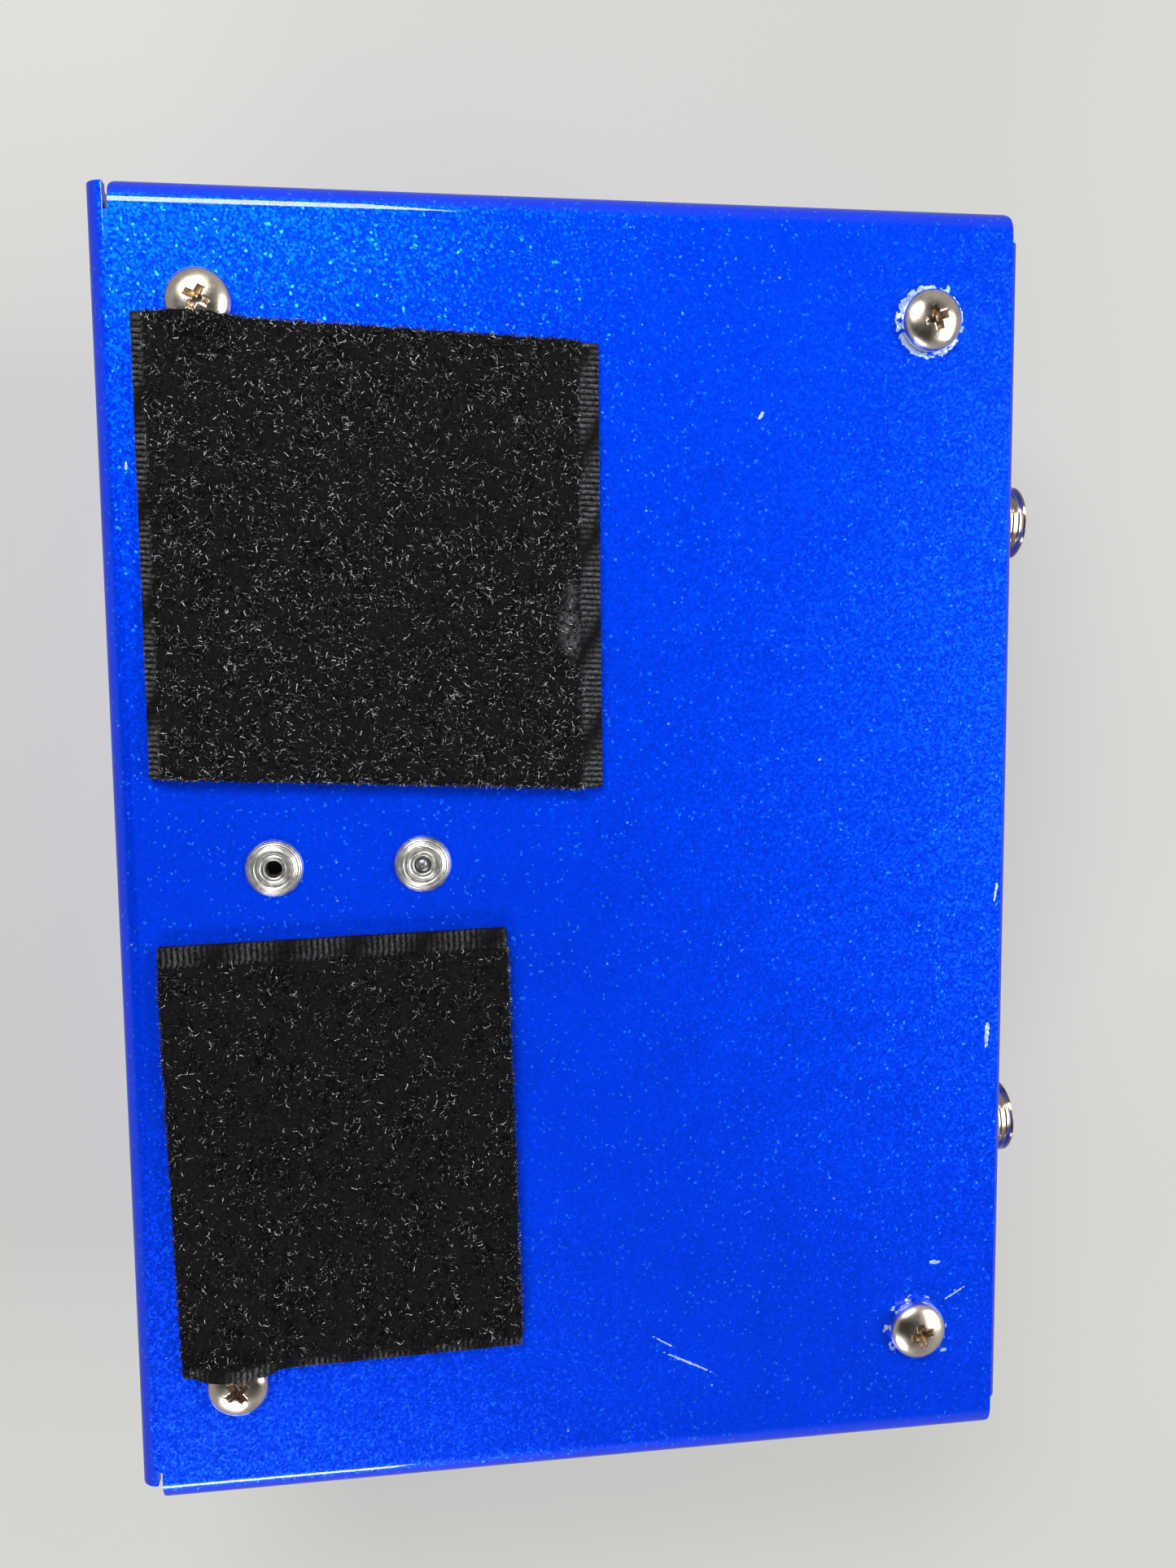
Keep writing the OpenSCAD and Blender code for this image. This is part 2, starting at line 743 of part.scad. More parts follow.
module jack(side) {
    color("#181818") on_rear(jack_xs[side], jack_z) difference() {
        block(jack_body_w, jack_body_h, -sheet_t - jack_l, -sheet_t);
        rod(jack_bush_r + 0.8 + fit, -sheet_t - 3, over);
        rod(jack_bore_r + 0.4, -sheet_t - jack_l + 1.2, 0);
    }
}

module jack_bushing(side) {
    color("silver") on_rear(jack_xs[side], jack_z) difference() {
        union() {
            rod(jack_bush_r, -sheet_t, jack_out);
            rod(jack_bush_r + 0.8, -sheet_t - 3, -sheet_t);
        }
        rod(jack_bore_r, -sheet_t - 3 - over, jack_out + over);
    }
}

module jack_washers() {
    color("silver") for (x = jack_xs) on_rear(x, jack_z)
        tube(6.6, jack_bush_r + fit, 0, jack_washer_t);
}

module jack_nuts() {
    turns = [11, 0];
    color("silver") for (side = [0, 1]) on_rear(jack_xs[side], jack_z)
        rotate([0, 0, turns[side]])
            hex_nut(12.7, jack_bush_r + run, jack_washer_t, jack_washer_t + jack_nut_t);
}

// Leads from the jack sockets' tail ends up to the board
module jack_leads() {
    for (x = jack_xs, k = [-1, 1]) {
        start = [cover_x + x + 3 * k, y_rear - sheet_t - jack_l, z_base + jack_z + 1];
        goal = panel_point(x + 2 * k, toggle_y + 3, board_under);
        color(k < 0 ? "white" : "#303030")
            lead(start, start - [0, 6, 0], goal - 5 * out, goal, 0.6);
    }
}

inlet_l = 13;

module dc_inlet() {
    color("#181818") on_rear(0, inlet_z) difference() {
        union() {
            rod(inlet_r, -sheet_t - inlet_l, 0);
            rod(inlet_r + 1.5, 0, 1.2);
        }
        rod(inlet_bore_r, -sheet_t - inlet_l + 3, 1.2 + over);
    }
}

module dc_pin() {
    pin_r = 1.05;
    color("silver") on_rear(0, inlet_z) rod(pin_r, -sheet_t - inlet_l + 3, -0.8);
}

module dc_nut() {
    color("silver") on_rear(0, inlet_z) hex_nut(14, inlet_r + run, -sheet_t - 2.2, -sheet_t);
}

base_plate();
top_cover();
base_screws();
clinch_nuts();
pad_right();
pad_left();
clip_rivets();
rivet_mandrel();
battery_clip();
battery();
battery_terminals();
battery_snap();
battery_leads();
circuit_board();
board_chips();
board_capacitors();
board_resistors();
pot(1);  // pot_1
pot(2);  // pot_2
pot(3);  // pot_3
pot(4);  // pot_4
shaft(1);  // shaft_1
shaft(2);  // shaft_2
shaft(3);  // shaft_3
shaft(4);  // shaft_4
knob(1);  // knob_1
knob(2);  // knob_2
knob(3);  // knob_3
knob(4);  // knob_4
pot_nuts();
pot_washers();
footswitch(0);  // footswitch_left
footswitch(1);  // footswitch_right
switch_bushing(0);  // switch_bushing_left
switch_bushing(1);  // switch_bushing_right
switch_button(0);  // switch_button_left
switch_button(1);  // switch_button_right
switch_lugs();
switch_nuts();
switch_washers();
switch_leads();
toggle(0);  // toggle_left
toggle(1);  // toggle_right
lever(0);  // lever_left
lever(1);  // lever_right
toggle_nuts();
led(0);  // led_left
led(1);  // led_right
led_bezels();
led_legs();
jack(0);  // jack_left
jack(1);  // jack_right
jack_bushing(0);  // jack_bushing_left
jack_bushing(1);  // jack_bushing_right
jack_nuts();
jack_washers();
jack_leads();
dc_inlet();
dc_pin();
dc_nut();
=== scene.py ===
import json
import math
import random

import bpy
from mathutils import Matrix, Vector, noise


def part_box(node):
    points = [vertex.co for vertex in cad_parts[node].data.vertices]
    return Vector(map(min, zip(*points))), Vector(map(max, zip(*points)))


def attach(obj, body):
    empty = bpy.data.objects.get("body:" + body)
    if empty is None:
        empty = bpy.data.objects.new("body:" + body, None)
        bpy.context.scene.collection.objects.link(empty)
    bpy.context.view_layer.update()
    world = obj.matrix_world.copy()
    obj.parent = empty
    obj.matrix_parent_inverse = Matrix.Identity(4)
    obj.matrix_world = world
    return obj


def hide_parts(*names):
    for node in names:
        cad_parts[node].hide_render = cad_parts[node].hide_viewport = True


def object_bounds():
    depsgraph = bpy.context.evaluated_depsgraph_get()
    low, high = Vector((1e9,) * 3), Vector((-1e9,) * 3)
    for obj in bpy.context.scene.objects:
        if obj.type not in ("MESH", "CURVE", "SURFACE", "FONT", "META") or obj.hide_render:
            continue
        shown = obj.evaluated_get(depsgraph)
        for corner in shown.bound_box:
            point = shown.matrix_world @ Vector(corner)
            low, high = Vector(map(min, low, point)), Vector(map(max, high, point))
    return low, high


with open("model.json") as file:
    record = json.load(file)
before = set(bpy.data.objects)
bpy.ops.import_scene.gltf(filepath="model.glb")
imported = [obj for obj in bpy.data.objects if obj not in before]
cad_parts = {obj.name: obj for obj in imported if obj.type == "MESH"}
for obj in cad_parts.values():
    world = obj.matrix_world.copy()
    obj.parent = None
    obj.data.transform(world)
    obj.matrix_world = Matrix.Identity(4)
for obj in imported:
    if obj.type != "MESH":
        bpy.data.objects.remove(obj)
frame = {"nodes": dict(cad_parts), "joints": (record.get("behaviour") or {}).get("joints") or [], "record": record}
cadBox = [list(corner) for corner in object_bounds()]
nodes = frame["nodes"]
joints = {joint["name"]: joint for joint in frame["joints"]}
mm = 0.001
panelNormal = Vector(joints["knob_1_turn"]["axis"])


# Tools of the bench

def useOnly(piece):
    bpy.ops.object.select_all(action="DESELECT")
    piece.select_set(True)
    bpy.context.view_layer.objects.active = piece


def newPiece(name, vertices, edges=(), faces=()):
    mesh = bpy.data.meshes.new(name)
    mesh.from_pydata(vertices, list(edges), list(faces))
    piece = bpy.data.objects.new(name, mesh)
    bpy.context.scene.collection.objects.link(piece)
    useOnly(piece)
    return piece


def smooth(piece, degrees=30):
    useOnly(piece)
    bpy.ops.object.shade_smooth_by_angle(angle=math.radians(degrees))


def roundEdges(piece, width, segments=3, degrees=30):
    useOnly(piece)
    rounding = piece.modifiers.new("rounding", "BEVEL")
    rounding.width = width
    rounding.segments = segments
    rounding.limit_method = "ANGLE"
    rounding.angle_limit = math.radians(degrees)
    rounding.miter_outer = "MITER_ARC"
    bpy.ops.object.modifier_apply(modifier="rounding")
    smooth(piece, 40)
    flats = piece.modifiers.new("flats", "WEIGHTED_NORMAL")    # wide faces stay flat
    flats.weight = 100
    flats.keep_sharp = True
    bpy.ops.object.modifier_apply(modifier="flats")


def turned(name, profile, closed=True, steps=48):
    # a profile of (radius, height) spun round Z, as on a lathe
    count = len(profile)
    edges = [(i, (i + 1) % count) for i in range(count if closed else count - 1)]
    piece = newPiece(name, [(r * mm, 0, h * mm) for r, h in profile], edges)
    bpy.ops.object.mode_set(mode="EDIT")
    bpy.ops.mesh.select_all(action="SELECT")
    bpy.ops.mesh.spin(steps=steps, angle=2 * math.pi, center=(0, 0, 0), axis=(0, 0, 1))
    bpy.ops.mesh.select_all(action="SELECT")
    bpy.ops.mesh.remove_doubles(threshold=1e-7)
    bpy.ops.mesh.normals_make_consistent(inside=False)
    bpy.ops.object.mode_set(mode="OBJECT")
    smooth(piece)
    return piece


def cut(piece, cutter, operation="DIFFERENCE"):
    useOnly(piece)
    work = piece.modifiers.new("work", "BOOLEAN")
    work.operation = operation
    work.solver = "EXACT"
    work.object = cutter
    bpy.ops.object.modifier_apply(modifier="work")
    bpy.data.objects.remove(cutter)


def setDown(piece, spots):
    # the piece, copied to each spot with its own mesh, and joined into one
    copies = []
    for spot in spots:
        twin = bpy.data.objects.new(piece.name, piece.data.copy())
        bpy.context.scene.collection.objects.link(twin)
        twin.matrix_world = spot
        copies.append(twin)
    name = piece.name
    bpy.data.objects.remove(piece)
    bpy.ops.object.select_all(action="DESELECT")
    for twin in copies:
        twin.select_set(True)
    bpy.context.view_layer.objects.active = copies[0]
    if len(copies) > 1:
        bpy.ops.object.join()
    joined = bpy.context.view_layer.objects.active
    bpy.ops.object.transform_apply(location=True, rotation=True, scale=True)
    joined.name = name
    return joined


def hand(piece, body, slot, material, *standsFor):
    piece.data.materials.clear()
    piece.data.materials.append(material)
    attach(piece, body)
    if standsFor:
        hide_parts(*standsFor)
    return piece


def middle(node):
    low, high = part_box(node)
    return (low + high) / 2


def onPanel(point, turn=0.0):
    # a spot on the control panel, with +Z out of it
    across = Vector((1, 0, 0))
    spot = Matrix((across, panelNormal.cross(across), panelNormal)).transposed().to_4x4()
    spot.translation = point
    return spot @ Matrix.Rotation(math.radians(turn), 4, "Z")


def onRear(point, turn=0.0):
    # a spot on the rear wall, with +Z out of it
    spot = Matrix.Rotation(math.radians(-90), 4, "X")
    spot.translation = point
    return spot @ Matrix.Rotation(math.radians(turn), 4, "Z")


def underBase(x, y, z, turn=0.0):
    # a spot on the underside, with +Z down
    return (Matrix.Translation((x, y, z)) @ Matrix.Rotation(math.pi, 4, "X")
            @ Matrix.Rotation(math.radians(turn), 4, "Z"))


# Finishes

def toLinear(code):
    parts = [int(code[i:i + 2], 16) / 255 for i in (1, 3, 5)]
    return [c / 12.92 if c <= 0.04045 else ((c + 0.055) / 1.055) ** 2.4 for c in parts] + [1]


def toned(code, share, lift=0):
    # the same hue, darker or paler
    parts = [min(255, int(int(code[i:i + 2], 16) * share) + lift) for i in (1, 3, 5)]
    return "#%02X%02X%02X" % tuple(parts)


def addNode(tree, kind, inputs=None, **settings):
    node = tree.nodes.new("ShaderNode" + kind)
    for name, value in settings.items():
        setattr(node, name, value)
    for name, value in (inputs or {}).items():
        if isinstance(value, bpy.types.NodeSocket):
            tree.links.new(value, node.inputs[name])
        else:
            node.inputs[name].default_value = value
    return node


def setStops(ramp, stops):
    band = ramp.color_ramp
    while len(band.elements) < len(stops):
        band.elements.new(0.5)
    for element, (position, code) in zip(band.elements, stops):
        element.position = position
        element.color = toLinear(code)


def startFinish(name, **sockets):
    material = bpy.data.materials.new(name)
    material.use_nodes = True
    tree = material.node_tree
    tree.nodes.clear()
    shader = addNode(tree, "BsdfPrincipled", {key.replace("_", " "): value
                                              for key, value in sockets.items()})
    addNode(tree, "OutputMaterial", {"Surface": shader.outputs["BSDF"]})
    place = addNode(tree, "TexCoord").outputs["Object"]
    return material, tree, shader, place


def grain(tree, place, size, detail=2.0, roughness=0.5, **settings):
    # noise whose grains are about size metres across
    return addNode(tree, "TexNoise", {"Vector": place, "Scale": 1 / size, "Detail": detail,
                                      "Roughness": roughness}, **settings)


def tinted(tree, factor, stops):
    ramp = addNode(tree, "ValToRGB", {"Fac": factor})
    setStops(ramp, stops)
    return ramp.outputs["Color"]


def ranged(tree, value, low, high, start=0.0, end=1.0):
    return addNode(tree, "MapRange", {"Value": value, "From Min": start, "From Max": end,
                                      "To Min": low, "To Max": high}).outputs["Result"]


def bumped(tree, height, depth, strength=1.0):
    return addNode(tree, "Bump", {"Height": height, "Distance": depth,
                                  "Strength": strength}).outputs["Normal"]


def enamelFinish():
    # polyester powder coat with aluminium flake under a clear coat: deep blue that sparkles where a light comes
    # near, with a mirror gloss on top; a few flake cells also carry a painted glint, a lighter blue in their
    # colour
    enamel = {
        # flake: the lighter blue of the painted glints
        "body": "#0042FF", "bodyDeep": "#003EF4", "flake": "#2E96FF", "bare": "#B9D4FF",
        "flakeSize": 0.26 * mm,    # the real flake is 0.05 mm, too fine to show
        "flakeTilt": 0.26, "orangePeel": 2.2 * mm, "peelDepth": 0.0012 * mm}
    material, tree, shader, place = startFinish(
        "blueFlakeEnamel", Metallic=0.5, Roughness=0.36, IOR=1.5, Specular_IOR_Level=0.45,
        Specular_Tint=toLinear("#0A8CFF"), Coat_Weight=0.8, Coat_Roughness=0.03, Coat_IOR=1.5)
    flakes = addNode(tree, "TexVoronoi", {"Vector": place, "Scale": 1 / enamel["flakeSize"]})
    glint = addNode(tree, "SeparateColor", {"Color": flakes.outputs["Color"]})
    drift = grain(tree, place, 9 * mm, 3)
    under = tinted(tree, drift.outputs["Fac"], [(0.3, enamel["bodyDeep"]), (0.7, enamel["body"])])
    # painted glint: one flake in fifty is coloured part way to a lighter blue, whatever the light
    paintedGlint = ranged(tree, glint.outputs["Red"], 0, 0.5, 0.97, 0.99)
    paint = addNode(tree, "Mix", {0: paintedGlint, 6: under, 7: toLinear(enamel["flake"])},
                    data_type="RGBA")
    tree.links.new(ranged(tree, glint.outputs["Blue"], 0.30, 0.42), shader.inputs["Roughness"])
    lean = addNode(tree, "VectorMath", {0: flakes.outputs["Color"], 1: (0.5, 0.5, 0.5)},
                   operation="SUBTRACT")
    lean = addNode(tree, "VectorMath", {0: lean.outputs[0], "Scale": enamel["flakeTilt"]},
                   operation="SCALE")
    face = addNode(tree, "NewGeometry").outputs["Normal"]
    lean = addNode(tree, "VectorMath", {0: lean.outputs[0], 1: face}, operation="ADD")
    lean = addNode(tree, "VectorMath", {0: lean.outputs[0]}, operation="NORMALIZE")

    # chips and scratches, in mm from the middle of the base's front edge:
    # (x, y, half length, half width, turn)
    corner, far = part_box("base_plate")
    start = Vector(((corner.x + far.x) / 2, corner.y, corner.z)) / mm
    baseZ = start.z
    marks = [
        (51.3, 72.1, 0.55, 0.22, 30), (-63.2, 63.1, 3.6, 0.16, 117),
        (-60.3, 60.0, 1.5, 0.12, 122), (-52.7, 94.8, 0.3, 0.85, 0), (-23.4, 101.2, 2.0, 0.3, 3),
        (-5.6, 102.0, 1.6, 0.16, 8), (44.9, 0.8, 0.5, 0.2, 5), (62.1, 89.1, 0.5, 0.35, 50),
        (66.2, 94.6, 0.45, 0.3, 20), (-64.4, 96.2, 0.5, 0.25, 75), (-56.9, 97.6, 1.8, 0.14, 60)]
    ragged = grain(tree, place, 0.5 * mm, 3)
    wobble = ranged(tree, ragged.outputs["Fac"], -0.9, 0.9)
    bare = None
    for x, y, long, wide, turn in marks:
        local = addNode(tree, "Mapping", {
            "Vector": place, "Location": ((start.x + x) * mm, (start.y + y) * mm, baseZ * mm),
            "Rotation": (0, 0, math.radians(turn)), "Scale": (long * mm, wide * mm, 1.2 * mm)},
            vector_type="TEXTURE")
        reach = addNode(tree, "VectorMath", {0: local.outputs[0]}, operation="LENGTH")
        rough = addNode(tree, "Math", {0: reach.outputs["Value"], 1: wobble}, operation="ADD")
        spot = addNode(tree, "Math", {0: rough.outputs[0], 1: 0.85}, operation="LESS_THAN")
        if bare is None:
            bare = spot.outputs[0]
        else:
            bare = addNode(tree, "Math", {0: bare, 1: spot.outputs[0]},
                           operation="MAXIMUM").outputs[0]
    # a ring of cracked coat round each rear screw, just outside its head
    low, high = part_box("base_screws")
    ringIn, ringOut = 3.55, 4.15
    cracks = grain(tree, place, 1.1 * mm, 4)
    for x, share in ((high.x - ringIn * mm, 0.44), (low.x + ringIn * mm, 0.55)):
        local = addNode(tree, "Mapping", {
            "Vector": place, "Location": (x, high.y - ringIn * mm, baseZ * mm),
            "Scale": (mm, mm, 6 * mm)}, vector_type="TEXTURE")
        reach = addNode(tree, "VectorMath", {0: local.outputs[0]}, operation="LENGTH")
        inner = addNode(tree, "Math", {0: reach.outputs["Value"], 1: ringIn},
                        operation="GREATER_THAN")
        ragEdge = addNode(tree, "Math", {0: wobble, 1: 0.45, 2: reach.outputs["Value"]},
                          operation="MULTIPLY_ADD")
        outer = addNode(tree, "Math", {0: ragEdge.outputs[0], 1: ringOut}, operation="LESS_THAN")
        flaked = addNode(tree, "Math", {0: cracks.outputs["Fac"], 1: share},
                         operation="GREATER_THAN")
        ring = addNode(tree, "Math", {0: inner.outputs[0], 1: outer.outputs[0]},
                       operation="MULTIPLY")
        ring = addNode(tree, "Math", {0: ring.outputs[0], 1: flaked.outputs[0]},
                       operation="MULTIPLY")
        bare = addNode(tree, "Math", {0: bare, 1: ring.outputs[0]},
                       operation="MAXIMUM").outputs[0]
    # dust and nicks: a few of many small cells
    specks = addNode(tree, "TexVoronoi", {"Vector": place, "Scale": 1 / (2.6 * mm)})
    pick = addNode(tree, "SeparateColor", {"Color": specks.outputs["Color"]})
    chosen = addNode(tree, "Math", {0: pick.outputs["Green"], 1: 0.80}, operation="GREATER_THAN")
    tiny = addNode(tree, "Math", {0: specks.outputs["Distance"], 1: 0.055},
                   operation="LESS_THAN")
    dust = addNode(tree, "Math", {0: chosen.outputs[0], 1: tiny.outputs[0]},
                   operation="MULTIPLY")
    dust = addNode(tree, "Math", {0: dust.outputs[0], 1: 0.55}, operation="MULTIPLY")
    paleShare = addNode(tree, "Math", {0: bare, 1: dust.outputs[0]}, operation="MAXIMUM")
    colour = addNode(tree, "Mix", {0: paleShare.outputs[0], 6: paint.outputs[2],
                                   7: toLinear(enamel["bare"])}, data_type="RGBA")
    tree.links.new(colour.outputs[2], shader.inputs["Base Color"])
    tree.links.new(lean.outputs[0], shader.inputs["Normal"])
    peel = grain(tree, place, enamel["orangePeel"], 1)
    tree.links.new(bumped(tree, peel.outputs["Fac"], enamel["peelDepth"]),
                   shader.inputs["Coat Normal"])
    return material


def platedFinish(name, code, roughness, streak=0.25 * mm, spread=0.10, depth=0.0006 * mm):
    # electroplated metal: a bright mirror with faint handling marks
    material, tree, shader, place = startFinish(name, Metallic=1.0)
    clouds = grain(tree, place, 2.5 * mm, 4)
    fine = grain(tree, place, streak, 3)
    tone = tinted(tree, clouds.outputs["Fac"], [(0.25, toned(code, 0.86)), (0.6, code)])
    tree.links.new(tone, shader.inputs["Base Color"])
    tree.links.new(ranged(tree, clouds.outputs["Fac"], roughness, roughness + spread, 0.3, 0.75),
                   shader.inputs["Roughness"])
    tree.links.new(bumped(tree, fine.outputs["Fac"], depth), shader.inputs["Normal"])
    return material


def rolledFinish(name, code, roughness, stretch=(1, 14, 14)):
    # rolled or drawn sheet metal: a fine grain that runs along X
    material, tree, shader, place = startFinish(name, Metallic=1.0)
    drawn = addNode(tree, "Mapping", {"Vector": place, "Scale": stretch})
    lines = grain(tree, drawn.outputs[0], 2.4 * mm, 5, 0.6)
    clouds = grain(tree, place, 4 * mm, 3)
    tone = tinted(tree, clouds.outputs["Fac"], [(0.3, toned(code, 0.78)), (0.7, code)])
    tree.links.new(tone, shader.inputs["Base Color"])
    tree.links.new(ranged(tree, lines.outputs["Fac"], roughness, roughness + 0.2),
                   shader.inputs["Roughness"])
    tree.links.new(bumped(tree, lines.outputs["Fac"], 0.003 * mm), shader.inputs["Normal"])
    return material


def mouldedFinish(name, code, roughness, texture=0.12 * mm, depth=0.006 * mm):
    # injection-moulded plastic: a fine spark-eroded skin, a little lighter where handled
    material, tree, shader, place = startFinish(name, IOR=1.5)
    skin = grain(tree, place, texture, 3)
    handled = grain(tree, place, 5 * mm, 4)
    tone = tinted(tree, handled.outputs["Fac"], [(0.35, code), (0.75, toned(code, 1.25, 6))])
    tree.links.new(tone, shader.inputs["Base Color"])
    tree.links.new(ranged(tree, handled.outputs["Fac"], roughness, roughness + 0.14, 0.3, 0.8),
                   shader.inputs["Roughness"])
    tree.links.new(bumped(tree, skin.outputs["Fac"], depth), shader.inputs["Normal"])
    return material


def rivetFinish():
    # soft aluminium headed on a press: satin, with rings that follow the flange
    material, tree, shader, place = startFinish("rivetAluminium", Metallic=1.0)
    reach = addNode(tree, "Attribute", attribute_name="reach").outputs["Fac"]
    rings = addNode(tree, "Math", {0: reach, 1: 2 * math.pi / (0.22 * mm)}, operation="MULTIPLY")
    rings = addNode(tree, "Math", {0: rings.outputs[0]}, operation="SINE")
    clouds = grain(tree, place, 0.8 * mm, 4)
    tree.links.new(tinted(tree, clouds.outputs["Fac"], [(0.3, "#A9A7A0"), (0.7, "#DDDBD4")]),
                   shader.inputs["Base Color"])
    tree.links.new(ranged(tree, clouds.outputs["Fac"], 0.28, 0.5), shader.inputs["Roughness"])
    tree.links.new(bumped(tree, rings.outputs[0], 0.008 * mm), shader.inputs["Normal"])
    return material


def tapeFinish():
    # woven nylon ground of loop tape: black, with the weave of a fine rib; grey where rubbed, and paler on the rib
    # crests of the bound edges as a painted highlight
    material, tree, shader, place = startFinish(
        "loopTapeGround", Roughness=0.9, Specular_IOR_Level=0.12)
    weave = addNode(tree, "TexVoronoi", {"Vector": place, "Scale": 1 / (0.28 * mm)})
    lint = grain(tree, place, 0.35 * mm, 4)
    # the grey share: real rub wear, and painted highlight on the rib crests
    paleShare = addNode(tree, "Attribute", attribute_name="paleShare").outputs["Fac"]
    black = tinted(tree, lint.outputs["Fac"], [(0.35, "#040405"), (0.8, "#141416")])
    grey = tinted(tree, lint.outputs["Fac"], [(0.35, "#242325"), (0.7, "#77757A")])
    colour = addNode(tree, "Mix", {0: paleShare, 6: black, 7: grey}, data_type="RGBA")
    tree.links.new(colour.outputs[2], shader.inputs["Base Color"])
    tree.links.new(bumped(tree, weave.outputs["Distance"], 0.05 * mm), shader.inputs["Normal"])
    return material


def loopFinish():
    # crimped nylon filament: black, and here and there a painted glint, a filament coloured pale grey
    material, tree, shader, place = startFinish(
        "loopTapeFilament", Roughness=0.34, Specular_IOR_Level=0.3)
    pale = addNode(tree, "Attribute", attribute_name="pale").outputs["Fac"]
    lint = grain(tree, place, 0.3 * mm, 2)
    shade = addNode(tree, "Math", {0: pale, 1: lint.outputs["Fac"]}, operation="MULTIPLY")
    tree.links.new(tinted(tree, shade.outputs[0], [(0.0, "#040405"), (0.30, "#111113"),
                                                   (0.42, "#4A4A4C"), (0.56, "#C8C8CA")]),
                   shader.inputs["Base Color"])
    return material


def boardFinish():
    # glass-fibre laminate under green solder mask, with copper tracks below it
    material, tree, shader, place = startFinish("solderMaskLaminate", IOR=1.5, Roughness=0.3,
                                                Coat_Weight=0.4, Coat_Roughness=0.12)
    tracks = addNode(tree, "TexBrick", {
        "Vector": place, "Scale": 1 / (14 * mm), "Mortar Size": 0.035,
        "Color1": toLinear("#0A3B1C"), "Color2": toLinear("#0C4520"),
        "Mortar": toLinear("#1D6B35")})
    weave = grain(tree, place, 0.4 * mm, 2)
    tree.links.new(tracks.outputs["Color"], shader.inputs["Base Color"])
    tree.links.new(bumped(tree, weave.outputs["Fac"], 0.01 * mm), shader.inputs["Normal"])
    return material


def bandedFinish(name, first, second, period, roughness=0.3):
    # dipped or sleeved parts: bands of two colours along X, under a glossy skin
    material, tree, shader, place = startFinish(name, Roughness=roughness, Coat_Weight=0.3)
    bands = addNode(tree, "TexWave", {"Vector": place, "Scale": 0.314 / period,
                                      "Distortion": 0.6}, bands_direction="X")
    blots = grain(tree, place, 1.2 * mm, 3)
    tree.links.new(tinted(tree, bands.outputs["Fac"], [(0.45, first), (0.55, second)]),
                   shader.inputs["Base Color"])
    tree.links.new(bumped(tree, blots.outputs["Fac"], 0.02 * mm), shader.inputs["Normal"])
    return material


def lensFinish():
    # clear red styrene, moulded with a smooth dome
    material, tree, shader, place = startFinish(
        "redLampLens", Roughness=0.06, IOR=1.55, Transmission_Weight=0.75, Coat_Weight=0.5)
    cloud = grain(tree, place, 1.5 * mm, 2)
    tree.links.new(tinted(tree, cloud.outputs["Fac"], [(0.3, "#B00D0A"), (0.7, "#F02A1C")]),
                   shader.inputs["Base Color"])
    return material


print("finishes")
enamel = enamelFinish()
nickel = platedFinish("nickelPlate", "#E2D8C8", 0.12)
screwNickel = platedFinish("nickelPlateScrews", "#F0E2D0", 0.16, 0.4 * mm, 0.16)
chrome = platedFinish("chromePlate", "#E2E3E5", 0.05, 0.3 * mm, 0.08)
brass = platedFinish("tinnedBrass", "#C9A35A", 0.25)
zinc = rolledFinish("zincPlatedSteel", "#B4B8BC", 0.30)
spring = rolledFinish("springSteelStrip", "#A3A8B0", 0.24)
aluminium = rivetFinish()
blackPlastic = mouldedFinish("blackNylonMoulding", "#141415", 0.48)
knobPlastic = mouldedFinish("blackPhenolicKnob", "#0D0D0E", 0.22, 0.35 * mm, 0.003 * mm)
bluePlastic = mouldedFinish("blueSwitchMoulding", "#12306E", 0.42)
redPlastic = mouldedFinish("redSwitchMoulding", "#8E1712", 0.40)
whiteFill = mouldedFinish("whitePointerFill", "#E4E2DA", 0.45)
jacket = mouldedFinish("batteryJacket", "#232327", 0.32, 0.8 * mm)
insulation = bandedFinish("wireInsulation", "#A01512", "#C9C4B8", 26 * mm, 0.35)
laminate = boardFinish()
capacitors = bandedFinish("capacitorSleeves", "#141B4E", "#7A1813", 11 * mm)
lacquer = bandedFinish("resistorLacquer", "#B79A68", "#6A3A1C", 1.6 * mm)
lens = lensFinish()
tape = tapeFinish()
filament = loopFinish()
finishOf = {
    "blue_enamel": enamel, "nickel_screws": screwNickel, "zinc_steel": zinc, "loop_tape": tape,
    "rivet_aluminium": aluminium, "spring_steel": spring, "battery_jacket": jacket,
    "brass": brass, "black_plastic": blackPlastic, "lead_insulation": insulation,
    "board_laminate": laminate, "capacitor_film": capacitors, "resistor_lacquer": lacquer,
    "nickel": nickel, "chrome": chrome, "blue_plastic": bluePlastic, "toggle_body": redPlastic,
    "red_lens": lens, "knob_plastic": knobPlastic}
slotOf = {part["node"]: part["material_slot"] for part in frame["record"]["subparts"]}
for node, part in nodes.items():
    part.data.materials.clear()
    part.data.materials.append(finishOf[slotOf[node]])


# Folded steel case: the sheet of the frame, with its edges rounded by the paint

def roundedCopy(node, name, width, body, segments=3):
    piece = bpy.data.objects.new(name, nodes[node].data.copy())
    bpy.context.scene.collection.objects.link(piece)
    useOnly(piece)
    bpy.ops.object.mode_set(mode="EDIT")
    bpy.ops.mesh.select_all(action="SELECT")
    bpy.ops.mesh.remove_doubles(threshold=1e-6)
    bpy.ops.mesh.dissolve_limited(angle_limit=math.radians(0.6))
    bpy.ops.mesh.customdata_custom_splitnormals_clear()
    bpy.ops.object.mode_set(mode="OBJECT")
    roundEdges(piece, width, segments)
    return hand(piece, body, slotOf[node], finishOf[slotOf[node]], node)


print("case")
sheet = {"paintedEdge": 0.4 * mm, "coverEdge": 0.6 * mm}
roundedCopy("base_plate", "basePlate", sheet["paintedEdge"], "case")
roundedCopy("top_cover", "topCover", sheet["coverEdge"], "case")


# Base screws: pan heads with a cross recess

